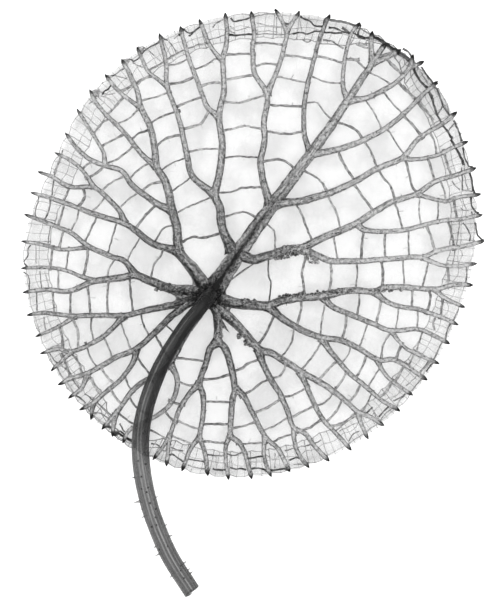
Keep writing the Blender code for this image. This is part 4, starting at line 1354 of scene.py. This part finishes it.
def makeStalkPrickles(material, centres):
    dice = random.Random(prickle["seed"])
    bm, layers = newBody()
    marks = list(prickle["listed"])
    for _ in range(prickle["extra"]):
        marks.append((dice.uniform(-425, -110), dice.uniform(-0.9, 0.9), dice.uniform(1.6, 2.8)))

    def footAt(i, share):
        along = headingAt(centres, i)
        right = Vector((-along.y, along.x, 0.0)).normalized()
        if right.x < 0:
            right = -right
        tilt = share * math.pi / 2
        way = right * math.sin(tilt) + Vector((0, 0, 1)) * math.cos(tilt)
        return centres[i] + way * (stalk["radius"] - 0.5), way, along

    for y, share, length in marks:
        i = min(range(12, len(centres)), key=lambda k: abs(footAt(k, share)[0].y - y))
        foot, way, along = footAt(i, share)
        foot.z = max(foot.z, 2.0)
        if abs(share) > 0.8:
            length *= 1.25
        addThorn(bm, layers, foot, way, length, prickle["baseRadius"] * (0.6 + length / 9),
                 0.85 if abs(share) < 0.8 else 0.25,
                 along * dice.uniform(-1.2, 1.2))
    finishBody("stalk_prickles", bm, material)


def makeRibPrickles(material):
    dice = random.Random(prickle["seed"] + 1)
    bm, layers = newBody()
    names = list(ribs)
    weights = [ribs[name][0] ** 2 for name in names]
    for _ in range(prickle["onRibs"]):
        start, end, route, _ = ribs[dice.choices(names, weights)[0]]
        centres = smoothRoute(route, 6.0)
        runs = lengthsOf(centres)
        i = dice.randrange(4, max(6, int(len(centres) * 0.8)))
        i = min(i, len(centres) - 3)
        width = blend(start, end, runs[i] / runs[-1])
        along = headingAt(centres, i)
        side = Vector((-along.y, along.x, 0.0))
        tilt = dice.uniform(-1.15, 1.15)
        way = side * math.sin(tilt) + Vector((0, 0, math.cos(tilt)))
        foot = Vector((centres[i].x, centres[i].y, leaf["ribBase"] + 0.25 * width))
        foot += side * math.sin(tilt) * width * 0.42 + Vector((0, 0, 0.5 * width * math.cos(tilt)))
        dense = denseAt(foot.x, foot.y) + 0.25
        addThorn(bm, layers, foot, way, dice.uniform(2.0, 3.6), dice.uniform(0.6, 0.95), dense,
                 Vector((dice.uniform(-0.6, 0.6), dice.uniform(-0.6, 0.6), 0)))
    finishBody("rib_prickles", bm, material)


# Dark wart-like grains: a dense crowd on the hub round the stalk's foot, and coarse patches on some ribs.
warts = {
    "seed": 8,
    "count": 190,
    "reach": 16.0,
    "radius": (0.6, 1.4),
    # x, y, half length, half width, turn in degrees, how many, darkness
    "patches": (
        (42, -11, 22, 8, 12, 120, 0.46), (64, -10, 10, 6, -15, 40, 0.34), (74, -20, 9, 6, -20, 24, 0.30),
        (-5, -73, 9, 5, 0, 30, 0.56), (48, -66, 16, 3, 4, 24, 0.62), (82, -62, 26, 2.5, 2, 46, 0.60),
        (112, -59, 16, 2.5, 3, 24, 0.52), (-9, -120, 12, 6, -42, 50, 0.46), (-43, -119, 8, 7, 90, 36, 0.46),
        (-92, -61, 17, 6, -14, 60, 0.66), (-34, -74, 6, 6, 0, 26, 0.75), (-43, -40, 8, 4, 50, 20, 0.7),
        (40, -70, 6, 2, 0, 10, 0.6), (165, -58, 22, 2, 0, 22, 0.45), (-112, -55, 10, 4, 18, 24, 0.6),
    ),
}


def ribTopFinder():
    # the height of the rib surface over any spot
    spots = []
    for start, end, route, _ in ribs.values():
        centres = smoothRoute(route, 3.0)
        runs = lengthsOf(centres)
        for centre, run in zip(centres, runs):
            width = ridge["slim"] * blend(start, end, run / runs[-1])
            if route[0] == leaf["hub"]:
                width *= 1 + ridge["hubFlare"] * math.exp(-run / ridge["hubFlareLength"])
            spots.append((centre, width))
    tree = kdtree.KDTree(len(spots))
    for i, (centre, _) in enumerate(spots):
        tree.insert((centre.x, centre.y, 0.0), i)
    tree.balance()

    def topAt(x, y):
        _, i, away = tree.find((x, y, 0.0))
        width = spots[i][1]
        rounding = max(1 - (2 * away / width) ** 2, 0.0) ** 0.85
        return leaf["ribBase"] + ridge["depth"] * min(width, 14) * rounding

    return topAt


def makeWarts(material):
    dice = random.Random(warts["seed"])
    bm, layers = newBody()
    topAt = ribTopFinder()

    def wart(x, y, z, way, dense):
        radius = dice.uniform(*warts["radius"]) * (1.5 if dense < 0.72 else 1.0)
        addThorn(bm, layers, Vector((x, y, z)), way, radius * 2.0, radius, dense, Vector((0, 0, 0)))

    for _ in range(warts["count"]):
        turn = dice.uniform(0, 2 * math.pi)
        out = warts["reach"] * math.sqrt(dice.uniform(0.2, 1.0))
        z = leaf["ribBase"] + blend(16, 6.5, ease(9, 18, out)) + dice.uniform(-1.5, 2.0)
        wart(leaf["hub"][0] + out * math.cos(turn), leaf["hub"][1] + out * math.sin(turn), z,
             Vector((math.cos(turn), math.sin(turn), 1.0)), dice.uniform(0.8, 1.15))
    for x, y, long, wide, turn, count, dense in warts["patches"]:
        turn = math.radians(turn)
        for _ in range(count):
            u, v = dice.uniform(-1, 1) * long, dice.uniform(-1, 1) * wide
            v *= (1 - 0.7 * (u / long) ** 2)
            wartX = x + u * math.cos(turn) - v * math.sin(turn)
            wartY = y + u * math.sin(turn) + v * math.cos(turn)
            z = min(topAt(wartX, wartY) + dice.uniform(-0.9, 0.1), leaf["ribBase"] + 12)
            wart(wartX, wartY, z, Vector((dice.uniform(-0.6, 0.6), dice.uniform(-0.6, 0.6), 1.0)),
                 dense + dice.uniform(-0.15, 0.15))
    finishBody("warts", bm, material)


def main():
    makeCamera()
    makeLight()
    makeFloor()
    print("camera, light and floor")
    fibre = makeFibreGroup()
    tissue = makeTissueGroup()
    ribFlesh = fleshMaterial(
        "ribFlesh", fibre, ((0.0, 0.008), (0.35, 0.10), (0.62, 0.29), (1.0, 0.62)), 0.5,
        Walls=0.22, Wall_Start=0.30, Streaks=0.32, Streak_Count=4.0, Mottle=0.44, Specks=0.42,
    )
    veinFlesh = fleshMaterial(
        "veinFlesh", fibre, ((0.0, 0.02), (0.4, 0.16), (0.75, 0.42), (1.0, 0.62)), 0.4,
        Walls=0.12, Wall_Start=0.55, Streaks=0.22, Streak_Count=2.0, Mottle=0.40, Specks=0.25,
    )
    print("materials")
    makeSheet(sheetMaterial(tissue))
    print("sheet")
    makeRibs(ribFlesh)
    makeHubWebs(ribFlesh)
    makeCrossVeins(veinFlesh)
    makeMarginVeins(veinFlesh)
    print("ribs and veins")
    centres = makeStalk(stalkMaterial(fibre))
    makeStalkPrickles(veinFlesh, centres)
    makeRibPrickles(ribFlesh)
    makeWarts(ribFlesh)
    print("stalk, prickles and hub")


main()
